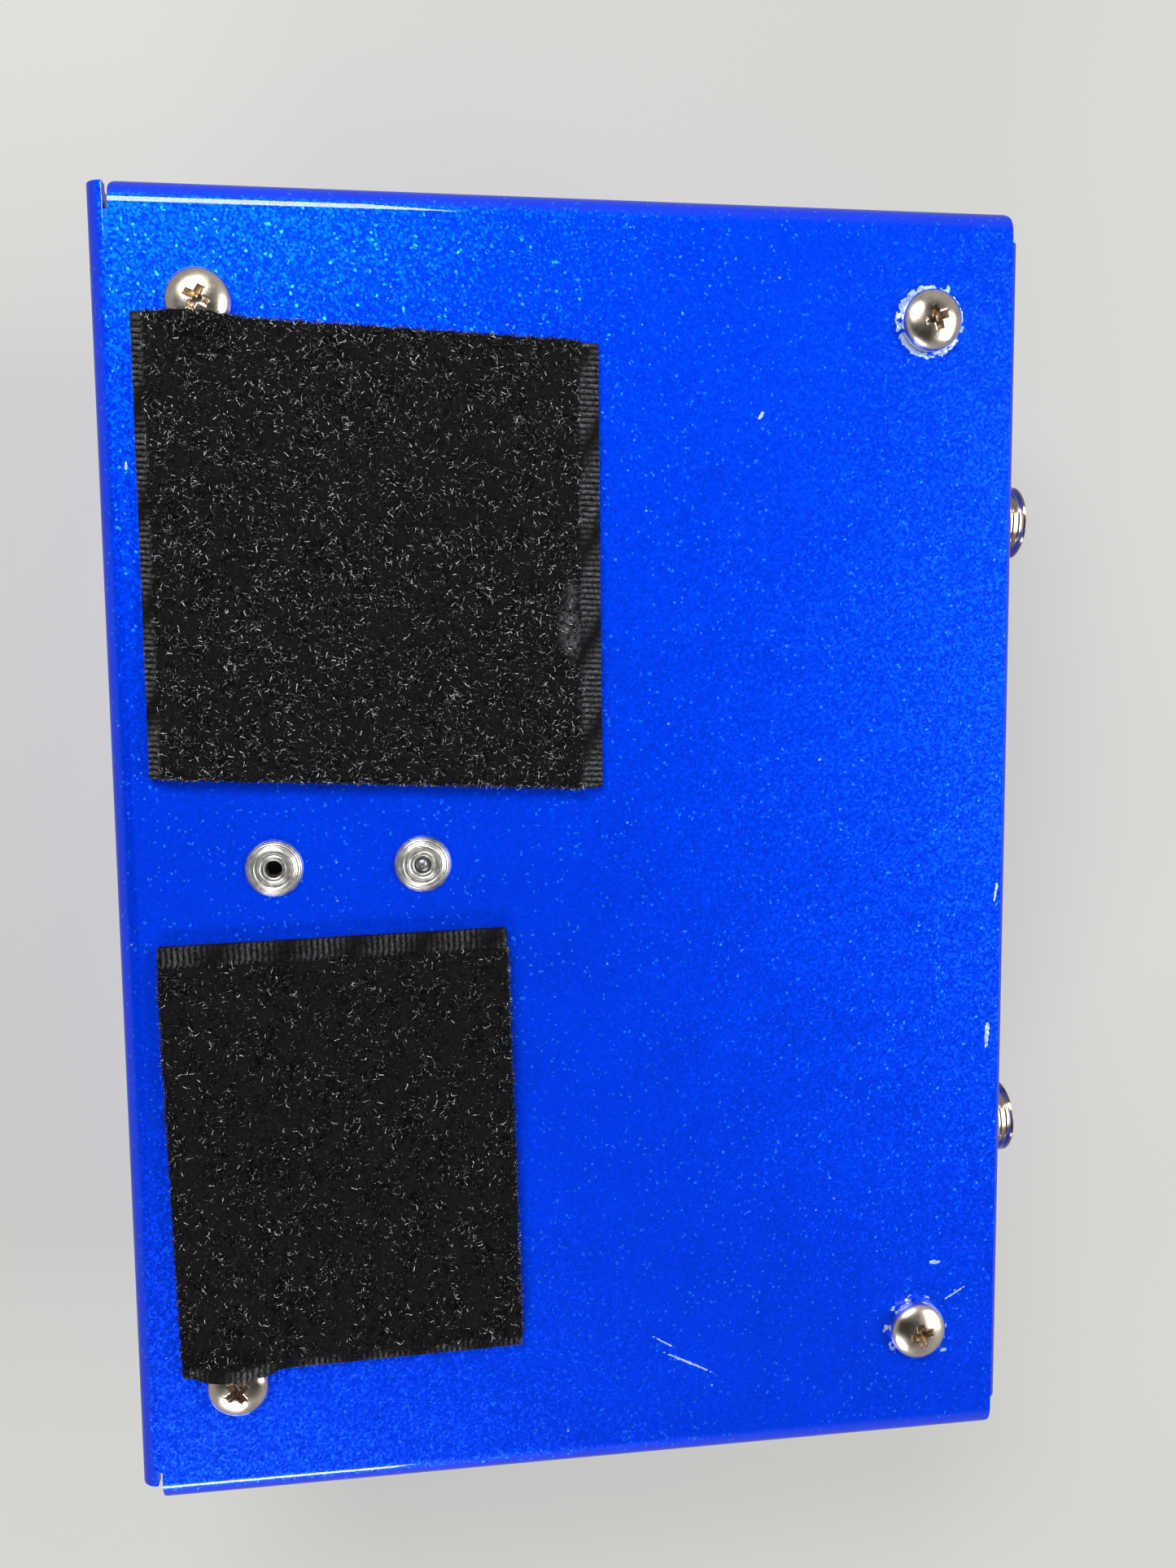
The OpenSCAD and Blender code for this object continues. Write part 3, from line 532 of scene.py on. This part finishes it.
screw = {"head": 3.55, "height": 2.4, "dome": 1.5, "shank": 1.75, "length": 7.5,
         "wing": 4.4, "slot": 1.15, "deep": 2.0, "turns": (35, 12, 62, 20)}


def screwPiece():
    rim = screw["height"] - screw["dome"]
    r = screw["head"]
    domed = [(r * math.sin(math.radians(a)),
              rim + screw["dome"] * math.cos(math.radians(a))) for a in range(78, 0, -6)]
    thread = []
    turns = 10
    pitch = (screw["length"] - 0.8) / turns
    for i in range(turns):
        top = -0.3 - i * pitch
        thread += [(screw["shank"] - 0.25, top), (screw["shank"], top - pitch / 2)]
    profile = [(0, -screw["length"]), (1.1, -screw["length"] + 0.1), *reversed(thread),
               (screw["shank"] - 0.1, 0), (r - 0.12, 0), (r, 0.12), (r, rim - 0.15),
               *domed, (0, screw["height"])]
    piece = turned("baseScrews", profile, closed=False)
    for quarter in (0, 90):
        bpy.ops.mesh.primitive_cube_add(size=1, location=(0, 0, screw["height"] * mm))
        bar = bpy.context.object
        bar.scale = (screw["wing"] * mm, screw["slot"] * mm, 2 * screw["deep"] * mm)
        bar.rotation_euler.z = math.radians(quarter)
        bpy.ops.object.transform_apply(location=True, rotation=True, scale=True)
        bpy.ops.object.mode_set(mode="EDIT")
        bpy.ops.mesh.select_all(action="DESELECT")
        bpy.ops.object.mode_set(mode="OBJECT")
        for face in bar.data.polygons:
            face.select = face.normal.z < -0.9
        bpy.ops.object.mode_set(mode="EDIT")
        narrow = (0.34, 0.6) if quarter == 0 else (0.6, 0.34)
        bpy.ops.transform.resize(value=(*narrow, 1))    # the wings slope in to a blunt point
        bpy.ops.object.mode_set(mode="OBJECT")
        cut(piece, bar)
    roundEdges(piece, 0.07 * mm, 2, 40)
    return piece


print("screws")
low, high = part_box("base_screws")
inset = screw["head"] * mm
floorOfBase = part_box("base_plate")[0].z
corners = [(x, y) for x in (low.x + inset, high.x - inset) for y in (low.y + inset, high.y - inset)]
screws = setDown(screwPiece(), [underBase(x, y, floorOfBase, turn)
                                for (x, y), turn in zip(corners, screw["turns"])])
hand(screws, "case", "nickel_screws", screwNickel, "base_screws")


# Blind rivets of the battery clip

rivet = {"flange": 3.3, "hole": 0.95, "body": 1.6, "back": 4.5, "bulge": 2.5}


def rivetPiece():
    profile = [
        (rivet["hole"], -rivet["back"]), (rivet["hole"], 0.74), (1.02, 0.86), (1.16, 0.9),
        (1.34, 0.88), (1.42, 0.8), (1.52, 0.86), (1.86, 0.9), (2.02, 0.88), (2.1, 0.8),
        (2.22, 0.84), (2.55, 0.74), (2.66, 0.64), (2.78, 0.66), (3.02, 0.5), (3.2, 0.3),
        (3.3, 0.12), (rivet["flange"], 0), (rivet["body"], 0), (rivet["body"], -2.3),
        (rivet["bulge"], -2.3), (rivet["bulge"], -3.6), (1.8, -rivet["back"])]
    piece = turned("clipRivets", profile, steps=56)
    reach = piece.data.attributes.new("reach", "FLOAT", "POINT")
    for i, vertex in enumerate(piece.data.vertices):
        reach.data[i].value = vertex.co.xy.length
    return piece


print("rivets")
low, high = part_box("clip_rivets")
rivetX = (low.x + high.x) / 2
rivetYs = (low.y + rivet["flange"] * mm, high.y - rivet["flange"] * mm)
rivets = setDown(rivetPiece(), [underBase(rivetX, y, floorOfBase) for y in rivetYs])
hand(rivets, "case", "rivet_aluminium", aluminium, "clip_rivets")
pin = turned("rivetMandrel", [(0, -4.2), (0.88, -4.2), (0.9, 0.0), (0.82, 0.2), (0.55, 0.26),
                              (0.5, 0.36), (0.3, 0.46), (0, 0.5)], closed=False)
pin = setDown(pin, [underBase(rivetX, rivetYs[1], floorOfBase)])
hand(pin, "case", "zinc_steel", zinc, "rivet_mandrel")


# Loop pads: a woven ground with bound edges, and a pile of crimped loops

screwSpots = [Vector((x, y)) for x, y in corners]
pads = {
    # narrow and wide are the two bound edges; pale sets how many loops carry a painted glint, and crest how
    # strongly the rib crests of the bound edges are painted pale as a highlight
    "right": {"skew": 2.2 * mm, "turn": 0.0, "narrow": 1.1 * mm, "wide": 2.1 * mm,
              "cells": (158, 158), "layers": 3, "seed": 4, "pale": 1.15, "crestHighlight": 0.95},
    "left": {"skew": 0.0, "turn": -1.2, "narrow": 1.0 * mm, "wide": 1.9 * mm,
             "cells": (158, 122), "layers": 2, "seed": 9, "pale": 2.2, "crestHighlight": 0.5},
    "ribPitch": 0.62 * mm, "ribDepth": 0.20 * mm, "boundHeight": 1.15 * mm,
    "pileHeight": 2.0 * mm, "filament": 0.038 * mm, "fray": 0.22 * mm,
    "loopsPerLayer": 9600}


def padCorners(side):
    low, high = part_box("pad_" + side)
    pad = pads[side]
    if side == "right":
        length = high.x - low.x - pad["skew"]
        return [Vector((low.x + pad["skew"], low.y)), Vector((high.x, low.y)),
                Vector((low.x + length, high.y)), Vector((low.x, high.y))]
    turn = Matrix.Rotation(math.radians(pad["turn"]), 2)
    c, s = math.cos(math.radians(-pad["turn"])), math.sin(math.radians(-pad["turn"]))
    w, d = high.x - low.x, high.y - low.y
    det = c * c - s * s
    wide, deep = (w * c - d * s) / det, (d * c - w * s) / det
    centre = ((low + high) / 2).xy
    return [centre + turn @ Vector(p) for p in (
        (-wide / 2, -deep / 2), (wide / 2, -deep / 2), (wide / 2, deep / 2), (-wide / 2, deep / 2))]


def padSpot(corner, u, v):
    front = corner[0] * (1 - u) + corner[1] * u
    rear = corner[3] * (1 - u) + corner[2] * u
    return front * (1 - v) + rear * v


def overScrew(point):
    # how far the tape lifts to pass over a screw head near this point
    far = min((point - spot).length for spot in screwSpots) / mm
    if far < 3.9:
        return (2.4 + 0.12 - 1.0 * (far / 3.55) ** 2 * (far < 3.55) - 1.0 * (far >= 3.55)) * mm
    if far < 6.4:
        return 1.45 * mm * (1 - (far - 3.9) / 2.5) ** 2
    return 0.0


def boundShare(side, u, v, wide, deep):
    # 1 on a bound edge, 0 on the pile, and a short slope between them
    pad = pads[side]
    if side == "right":
        near, far = v * deep, (1 - v) * deep
    else:
        near, far = u * wide, (1 - u) * wide
    slope = 0.35 * mm
    inward = min(near - pad["narrow"], far - pad["wide"])
    return max(0.0, min(1.0, 1 - inward / slope))


def padGround(side):
    pad = pads[side]
    corner = padCorners(side)
    wide, deep = (corner[1] - corner[0]).length, (corner[3] - corner[0]).length
    across, along = pad["cells"]
    lower, upper, paleShare = [], [], []
    wornSpot = Vector((27.56, -4.2)) * mm    # rubbed grey, beside the rear bound edge
    for j in range(along + 1):
        for i in range(across + 1):
            u, v = i / across, j / along
            spot = padSpot(corner, u, v)
            edgeU = min(u, 1 - u) * wide < 0.4 * mm
            edgeV = min(v, 1 - v) * deep < 0.4 * mm
            ragged = noise.noise(Vector((spot.x, spot.y, pad["seed"])) / (1.1 * mm))
            if side == "right" and edgeU:
                spot = spot + Vector((pads["fray"] * ragged, 0))
            if side == "left" and edgeV:
                spot = spot + Vector((0, 1.4 * pads["fray"] * ragged))
            bound = boundShare(side, u, v, wide, deep)
            run = spot.x if side == "right" else spot.y
            rib = pads["ribDepth"] * math.sin(2 * math.pi * run / pads["ribPitch"])
            clump = noise.noise(Vector((spot.x, spot.y, 0.1)) / (1.9 * mm))
            tuft = noise.noise(Vector((spot.x, spot.y, 0.4)) / (0.75 * mm))
            pile = pads["pileHeight"] + (0.26 * clump + 0.24 * tuft) * mm
            if i in (0, across) or j in (0, along):
                pile = min(pile, 1.5 * mm)
            height = bound * (pads["boundHeight"] + rib) + (1 - bound) * pile
            lift = overScrew(spot)
            height = max(height, lift + 1.15 * mm + 0.2 * tuft * mm) if lift > 0 else height
            upper.append((spot.x, spot.y, floorOfBase - lift))
            lower.append((spot.x, spot.y, floorOfBase - height))
            rub = spot - wornSpot
            ellipse = math.hypot(rub.x / (5.2 * mm), rub.y / (1.5 * mm))
            rubbed = max(0.0, 1 - ellipse) * (0.6 + 0.8 * tuft) if side == "right" else 0.0
            # painted highlight: the rib crests of the bound edges are coloured paler, on top of the real rub wear
            crestHighlight = bound * max(0.0, rib / pads["ribDepth"]) ** 2
            paleShare.append(max(rubbed, pad["crestHighlight"] * crestHighlight))
    count = len(lower)
    row = across + 1
    faces = []
    for j in range(along):
        for i in range(across):
            a = j * row + i
            faces.append((a, a + row, a + row + 1, a + 1))
            faces.append((count + a, count + a + 1, count + a + row + 1, count + a + row))
    rim = (list(range(row)) + [row * j + across for j in range(1, along + 1)]
           + [row * along + i for i in range(across - 1, -1, -1)]
           + [row * j for j in range(along - 1, 0, -1)])
    for k, a in enumerate(rim):
        b = rim[(k + 1) % len(rim)]
        faces.append((a, b, count + b, count + a))
    piece = newPiece("loopPad" + side.capitalize(), lower + upper, (), faces)
    wearAndHighlight = piece.data.attributes.new("paleShare", "FLOAT", "POINT")
    for i, value in enumerate(paleShare):
        wearAndHighlight.data[i].value = max(0.0, min(1.0, 1.6 * value))
    smooth(piece, 60)
    return piece


def padPile(side, layer):
    # loops that start and end in the ground; fuzz leans out of the two cut ends
    pad = pads[side]
    draw = random.Random(pad["seed"] + 50 * layer)
    corner = padCorners(side)
    wide, deep = (corner[1] - corner[0]).length, (corner[3] - corner[0]).length
    rings, sides = 4, 3
    points, faces, shades = [], [], []
    for n in range(pads["loopsPerLayer"]):
        fuzzy = n % 9 == 0
        u, v = draw.random(), draw.random()
        if fuzzy:
            end = draw.choice((0.004, 0.996))
            u, v = (end, v) if side == "right" else (u, end)
        if boundShare(side, u, v, wide, deep) > 0.2:
            continue
        spot = padSpot(corner, u, v)
        heading = draw.uniform(0, 2 * math.pi)
        span = draw.uniform(0.35, 1.2) * mm
        rise = draw.uniform(0.2, 0.6) * mm
        step = Vector((math.cos(heading), math.sin(heading), 0))
        if fuzzy:
            outward = Vector((1 if u > 0.5 else -1, 0, 0)) if side == "right" \
                else Vector((0, 1 if v > 0.5 else -1, 0))
            step = (step * 0.6 + outward * 0.5).normalized()
            rise *= 0.5
        sideways = step.cross(Vector((0, 0, 1)))
        curl = draw.uniform(-0.7, 0.7) * span
        lift = overScrew(spot)
        height = max(pads["pileHeight"] - 0.3 * mm, lift + 1.0 * mm)
        if fuzzy:
            height = max(draw.uniform(0.7, 1.6) * mm, lift + 0.6 * mm)
        foot = Vector((spot.x, spot.y, floorOfBase - height))
        thick = pads["filament"] * draw.uniform(0.8, 1.35)
        # painted glint: a few loops get a high pale value, and so a pale grey colour
        pale = draw.random() ** pad["pale"]
        first = len(points)
        path = []
        for k in range(rings):
            t = k / (rings - 1)
            bow = math.sin(math.pi * t)
            path.append(foot + step * span * (t - 0.5) * (1 + 0.5 * bow)
                        + sideways * curl * bow * math.cos(2.2 * t) + Vector((0, 0, -rise * bow)))
        for k in range(rings):
            ahead = (path[min(k + 1, rings - 1)] - path[max(k - 1, 0)]).normalized()
            one = ahead.cross(Vector((0.2, 0.3, 1))).normalized()
            two = ahead.cross(one)
            for s in range(sides):
                turn = 2 * math.pi * s / sides
                points.append(path[k] + thick * (math.cos(turn) * one + math.sin(turn) * two))
                shades.append(pale)
        for k in range(rings - 1):
            for s in range(sides):
                a, b = first + k * sides + s, first + k * sides + (s + 1) % sides
                faces.append((a, a + sides, b + sides, b))
        faces.append(tuple(first + s for s in range(sides)))
        faces.append(tuple(first + (rings - 1) * sides + s for s in reversed(range(sides))))
    piece = newPiece("loopPile" + side.capitalize() + str(layer), points, (), faces)
    bpy.ops.object.mode_set(mode="EDIT")
    bpy.ops.mesh.select_all(action="SELECT")
    bpy.ops.mesh.normals_make_consistent(inside=False)
    bpy.ops.object.mode_set(mode="OBJECT")
    shade = piece.data.attributes.new("pale", "FLOAT", "POINT")
    for i, value in enumerate(shades):
        shade.data[i].value = value
    smooth(piece, 80)
    return piece


print("loop pads")
for side, flat in (("right", (50.4 * mm, 50.8 * mm)), ("left", (50.8 * mm, 39.4 * mm))):
    ground = padGround(side)
    piles = [padPile(side, layer) for layer in range(1, pads[side]["layers"] + 1)]
    hand(ground, "case", "loop_tape", tape, "pad_" + side)
    for pile in piles:
        hand(pile, "case", "loop_tape", filament)


# Hexagon nuts, threaded bushings and buttons

def hexNut(name, across, bore, thick):
    # a turned blank with its corners chamfered, milled to six flats
    corner, flat = across / math.sqrt(3), across / 2
    chamfer = (corner - flat * 0.97) * math.tan(math.radians(30))
    piece = turned(name, [(bore, 0.2), (bore + 0.2, 0), (flat * 0.97, 0), (corner, chamfer),
                          (corner, thick - chamfer), (flat * 0.97, thick), (bore + 0.2, thick),
                          (bore, thick - 0.2)], steps=72)
    bpy.ops.mesh.primitive_cylinder_add(vertices=6, radius=corner * mm, depth=2 * thick * mm)
    cut(piece, bpy.context.object, "INTERSECT")
    smooth(piece, 20)
    roundEdges(piece, 0.06 * mm, 2, 25)
    return piece


def threadRise(outer, low, high, pitch, deep=0.3):
    # a saw of crests and roots up the outside of a bushing
    turns = max(1, int((high - low) / pitch))
    points = []
    for i in range(turns):
        points += [(outer - deep, low + i * pitch), (outer, low + (i + 0.5) * pitch)]
    return points + [(outer - deep, low + turns * pitch)]


print("hardware")
jack = {"across": 12.7, "bore": 4.75, "nut": 2.0, "washer": 0.5, "plug": 3.2, "out": 5.4,
        "thread": 4.7, "pitch": 0.73, "turns": (11, 0)}
jackSpots = [middle("jack_bushing_left"), middle("jack_bushing_right")]
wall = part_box("top_cover")[1].y
nutSpots = [onRear(Vector((spot.x, wall + jack["washer"] * mm, spot.z)), turn)
            for spot, turn in zip(jackSpots, jack["turns"])]
hand(setDown(hexNut("jackNuts", jack["across"], jack["bore"], jack["nut"]), nutSpots),
     "case", "nickel", nickel, "jack_nuts")
washer = turned("jackWashers", [(4.8, 0.1), (4.9, 0), (6.5, 0), (6.6, 0.1), (6.6, 0.4),
                                (6.5, jack["washer"]), (4.9, jack["washer"]), (4.8, 0.42)])
hand(setDown(washer, [onRear(Vector((spot.x, wall, spot.z))) for spot in jackSpots]),
     "case", "nickel", nickel, "jack_washers")
for side, spot in zip(("Left", "Right"), jackSpots):
    thread = threadRise(jack["thread"], -1.4, jack["out"] - 0.2, jack["pitch"])
    sleeve = turned("jackBushing" + side, [
        (jack["plug"], -4.5), (jack["plug"], jack["out"] - 0.3), (3.45, jack["out"]),
        (4.3, jack["out"]), (4.6, jack["out"] - 0.2), *reversed(thread),
        (jack["thread"], -1.5), (5.5, -1.5), (5.5, -4.5)])
    sleeve = setDown(sleeve, [onRear(Vector((spot.x, wall, spot.z)))])
    hand(sleeve, "case", "nickel", nickel, "jack_bushing_" + side.lower())

foot = {"across": 14, "bore": 6.0, "nut": 2, "turns": (8, 21), "heights": (1, -3.5)}
lever = {"across": 8, "bore": 3.05, "nut": 1.8, "turns": (4, 25), "can": (7.6, 12.8, 8.5)}
panelSpot = {}
for side in ("left", "right"):
    panelSpot["foot" + side] = middle("switch_bushing_" + side) - panelNormal * 0.85 * mm
    pivot = Vector(joints["toggle_" + side + "_tilt"]["pos_m"])
    panelSpot["lever" + side] = pivot - panelNormal * 2 * mm
footSpots = [panelSpot["footleft"], panelSpot["footright"]]
leverSpots = [panelSpot["leverleft"], panelSpot["leverright"]]
nuts = [onPanel(spot + panelNormal * height * mm, turn)
        for spot, turn in zip(footSpots, foot["turns"]) for height in foot["heights"]]
hand(setDown(hexNut("switchNuts", foot["across"], foot["bore"], foot["nut"]), nuts),
     "case", "nickel", nickel, "switch_nuts")
washer = turned("switchWashers", [(6.05, 0.1), (6.2, 0), (8.4, 0), (8.5, 0.12), (8.5, 0.8),
                                  (8.3, 1), (6.2, 1), (6.05, 0.9)], steps=64)
hand(setDown(washer, [onPanel(spot) for spot in footSpots]), "case", "nickel", nickel,
     "switch_washers")
nuts = [onPanel(spot, turn) for spot, turn in zip(leverSpots, lever["turns"])]
hand(setDown(hexNut("toggleNuts", lever["across"], lever["bore"], lever["nut"]), nuts),
     "case", "nickel", nickel, "toggle_nuts")
for side in ("left", "right"):
    bushing = turned("switchBushing" + side.capitalize(), [
        (4.05, -4.3), (4.05, 5.7), (4.3, 6), (5.4, 6), (5.75, 5.6),
        *reversed(threadRise(5.95, -1.4, 5.4, 1.0)), (5.9, -1.6), (5.95, -4.3)], steps=64)
    hand(setDown(bushing, [onPanel(panelSpot["foot" + side])]), "case", "nickel", nickel,
         "switch_bushing_" + side)
    crown = [(4 * math.sin(math.radians(a)), 11.4 + 1.6 * math.cos(math.radians(a)))
             for a in range(84, 0, -7)]
    button = turned("switchButton" + side.capitalize(), [
        (0, -6.1), (4.9, -6.1), (4.9, -4.6), (4, -4.6), (4, 11.1), *crown, (0, 13)],
        closed=False, steps=64)
    hand(setDown(button, [onPanel(panelSpot["foot" + side])]), "foot_button_" + side, "chrome",
         chrome, "switch_button_" + side)
    collar = turned("toggleBushing" + side.capitalize(), [
        (2.45, -5), (2.45, 5), (2.72, 8), (2.8, 8), (3, 7.7),
        *reversed(threadRise(3.0, -1.3, 7.6, 0.75, 0.2)), (3, -1.5), (3, -5)])
    hand(setDown(collar, [onPanel(panelSpot["lever" + side])]), "case", "nickel", nickel)
    bpy.ops.mesh.primitive_cube_add(size=1, location=(0, 0, -5.75 * mm))
    can = bpy.context.object
    can.name = "toggleBody" + side.capitalize()
    can.scale = [size * mm for size in lever["can"]]
    bpy.ops.object.transform_apply(location=True, rotation=True, scale=True)
    well = turned("well", [(0, -5), (3.01, -5), (3.01, 3), (0, 3)], closed=False)
    cut(can, well)
    roundEdges(can, 0.4 * mm, 3, 40)
    hand(setDown(can, [onPanel(panelSpot["lever" + side])]), "case", "toggle_body", redPlastic,
         "toggle_" + side)


# Knobs: moulded skirts with a filled pointer line, and a dial of plain ticks on the panel

knob = {"roof": 15.4, "crown": 8.3, "edge": 0.14 * mm, "line": 1.0, "ticks": 11,
        "sweep": 300, "tickIn": 11.0, "tickOut": 12.5}
print("knobs")
for n in "1234":
    roundedCopy("knob_" + n, "knob" + n, knob["edge"], "control_" + n, 2)
    bpy.ops.object.select_all(action="DESELECT")
    bpy.ops.mesh.primitive_cube_add(size=1, location=(0, 4.1 * mm, (knob["roof"] - 0.28) * mm))
    line = bpy.context.object
    line.name = "knobPointer" + n
    line.scale = (knob["line"] * mm, 6.6 * mm, 0.2 * mm)
    bpy.ops.object.transform_apply(location=True, rotation=True, scale=True)
    roundEdges(line, 0.05 * mm, 2)
    hand(setDown(line, [onPanel(Vector(joints["knob_" + n + "_turn"]["pos_m"]))]),
         "control_" + n, "knob_plastic", whiteFill)
ticks = []
for n in "1234":
    spot = Vector(joints["knob_" + n + "_turn"]["pos_m"])
    for i in range(knob["ticks"]):
        angle = (i / (knob["ticks"] - 1) - 0.5) * knob["sweep"]
        ticks.append(onPanel(spot, angle))
bpy.ops.object.select_all(action="DESELECT")
reach = (knob["tickIn"] + knob["tickOut"]) / 2
bpy.ops.mesh.primitive_cube_add(size=1, location=(0, reach * mm, 0))
tick = bpy.context.object
tick.name = "dialTicks"
tick.scale = (0.45 * mm, (knob["tickOut"] - knob["tickIn"]) * mm, 0.06 * mm)
bpy.ops.object.transform_apply(location=True, rotation=True, scale=True)
roundEdges(tick, 0.02 * mm, 1)
hand(setDown(tick, ticks), "case", "knob_plastic", whiteFill)


# Camera, lights and floors

print("camera and light")
viewFrom = {
    "place": (22.62 * mm, -21.64 * mm, -144.4 * mm), "lens": 29.154,
    "right": (-0.0103, 0.9911, -0.1327), "up": (0.9956, 0.0224, 0.0905),
    "back": (0.0927, -0.1312, -0.987)}
lensBody = bpy.data.cameras.new("camera")
lensBody.lens = viewFrom["lens"]
lensBody.sensor_width = 36
lensBody.sensor_fit = "AUTO"
lensBody.clip_start = 5 * mm
lensBody.clip_end = 20
camera = bpy.data.objects.new("camera", lensBody)
bpy.context.scene.collection.objects.link(camera)
stand = Matrix((viewFrom["right"], viewFrom["up"], viewFrom["back"])).transposed().to_4x4()
stand.translation = viewFrom["place"]
camera.matrix_world = stand
bpy.context.scene.camera = camera

lamps = [
    # name, place, aimed at, size across and up, power in watts
    ("stripRight", (0.28, -0.13, -0.33), (0.05, -0.035, 0), (0.24, 0.13), 1.9),
    ("stripLeft", (-0.38, -0.14, -0.22), (-0.05, -0.04, 0), (0.22, 0.07), 1.0),
    ("softRear", (0.02, 0.50, -0.42), (0, 0, 0), (0.5, 0.3), 3.6),
    ("softTop", (-0.08, 0.08, 0.80), (0, 0, 0.03), (0.5, 0.36), 8.0)]
for name, place, aim, size, power in lamps:
    lamp = bpy.data.lights.new(name, "AREA")
    lamp.shape = "RECTANGLE"
    lamp.size, lamp.size_y = size
    lamp.energy = power
    holder = bpy.data.objects.new(name, lamp)
    bpy.context.scene.collection.objects.link(holder)
    holder.location = place
    facing = Vector(aim) - Vector(place)
    holder.rotation_mode = "QUATERNION"
    holder.rotation_quaternion = facing.to_track_quat("-Z", "Y")
    holder.visible_camera = False

world = bpy.data.worlds.new("studio")
bpy.context.scene.world = world
world.use_nodes = True
sky = world.node_tree
sky.nodes.clear()
seen = addNode(sky, "LightPath").outputs["Is Camera Ray"]
# reflections see a dark room straight below the base and paler walls round it
heading = addNode(sky, "TexCoord").outputs["Generated"]
steep = addNode(sky, "SeparateXYZ", {"Vector": heading}).outputs["Z"]
walls = addNode(sky, "MapRange", {"Value": steep, "From Min": -0.78, "From Max": -0.5,
                                  "To Min": 0.03, "To Max": 0.45})
mirrored = addNode(sky, "LightPath").outputs["Is Glossy Ray"]
around = addNode(sky, "MapRange", {"Value": mirrored, "To Min": 0.12,
                                   "To Max": walls.outputs["Result"]})
strength = addNode(sky, "MapRange", {"Value": seen, "To Min": around.outputs["Result"],
                                     "To Max": 0.9})
glow = addNode(sky, "Background", {"Color": toLinear("#E9EAEC"),
                                   "Strength": strength.outputs["Result"]})
addNode(sky, "OutputWorld", {"Surface": glow.outputs["Background"]})


def studioFloor(name, height, half, up):
    # a plain floor that shows from one side only, so that it never hides the pedal
    bpy.ops.mesh.primitive_plane_add(size=2 * half, location=(0, 0, height))
    floor = bpy.context.object
    floor.name = name
    if not up:
        floor.rotation_euler.x = math.pi
    bpy.ops.object.transform_apply(location=True, rotation=True, scale=True)
    material = bpy.data.materials.new(name + "Paper")
    material.use_nodes = True
    tree = material.node_tree
    tree.nodes.clear()
    place = addNode(tree, "TexCoord").outputs["Object"]
    tone = tinted(tree, grain(tree, place, 0.2, 2).outputs["Fac"], [(0.3, "#BFBEB9"),
                                                                  (0.7, "#C5C4BF")])
    lit = addNode(tree, "BsdfDiffuse", {"Color": tone})
    even = addNode(tree, "Emission", {"Color": tone, "Strength": 1.25})    # pale far away too
    paper = addNode(tree, "MixShader", {0: 0.5, 1: lit.outputs[0], 2: even.outputs[0]})
    clear = addNode(tree, "BsdfTransparent")
    behind = addNode(tree, "NewGeometry").outputs["Backfacing"]
    if not up:    # also gone where it is seen nearly edge on, from beside the pedal
        slant = addNode(tree, "LayerWeight", {"Blend": 0.5}).outputs["Facing"]
        edgeOn = addNode(tree, "Math", {0: slant, 1: 0.42}, operation="GREATER_THAN")
        behind = addNode(tree, "Math", {0: behind, 1: edgeOn.outputs[0]},
                         operation="MAXIMUM").outputs[0]
    shown = addNode(tree, "MixShader", {0: behind, 1: paper.outputs[0], 2: clear.outputs[0]})
    addNode(tree, "OutputMaterial", {"Surface": shown.outputs[0]})
    floor.data.materials.append(material)
    floor.visible_shadow = False
    floor.visible_diffuse = False
    floor.visible_glossy = False


bpy.ops.object.select_all(action="DESELECT")
studioFloor("floor", cadBox[0][2] - 0.0002, 3.0, True)
bpy.ops.object.select_all(action="DESELECT")
studioFloor("upperFloor", cadBox[1][2] + 0.0004, 0.32, False)
bpy.context.scene.view_settings.view_transform = "Standard"

print("done")
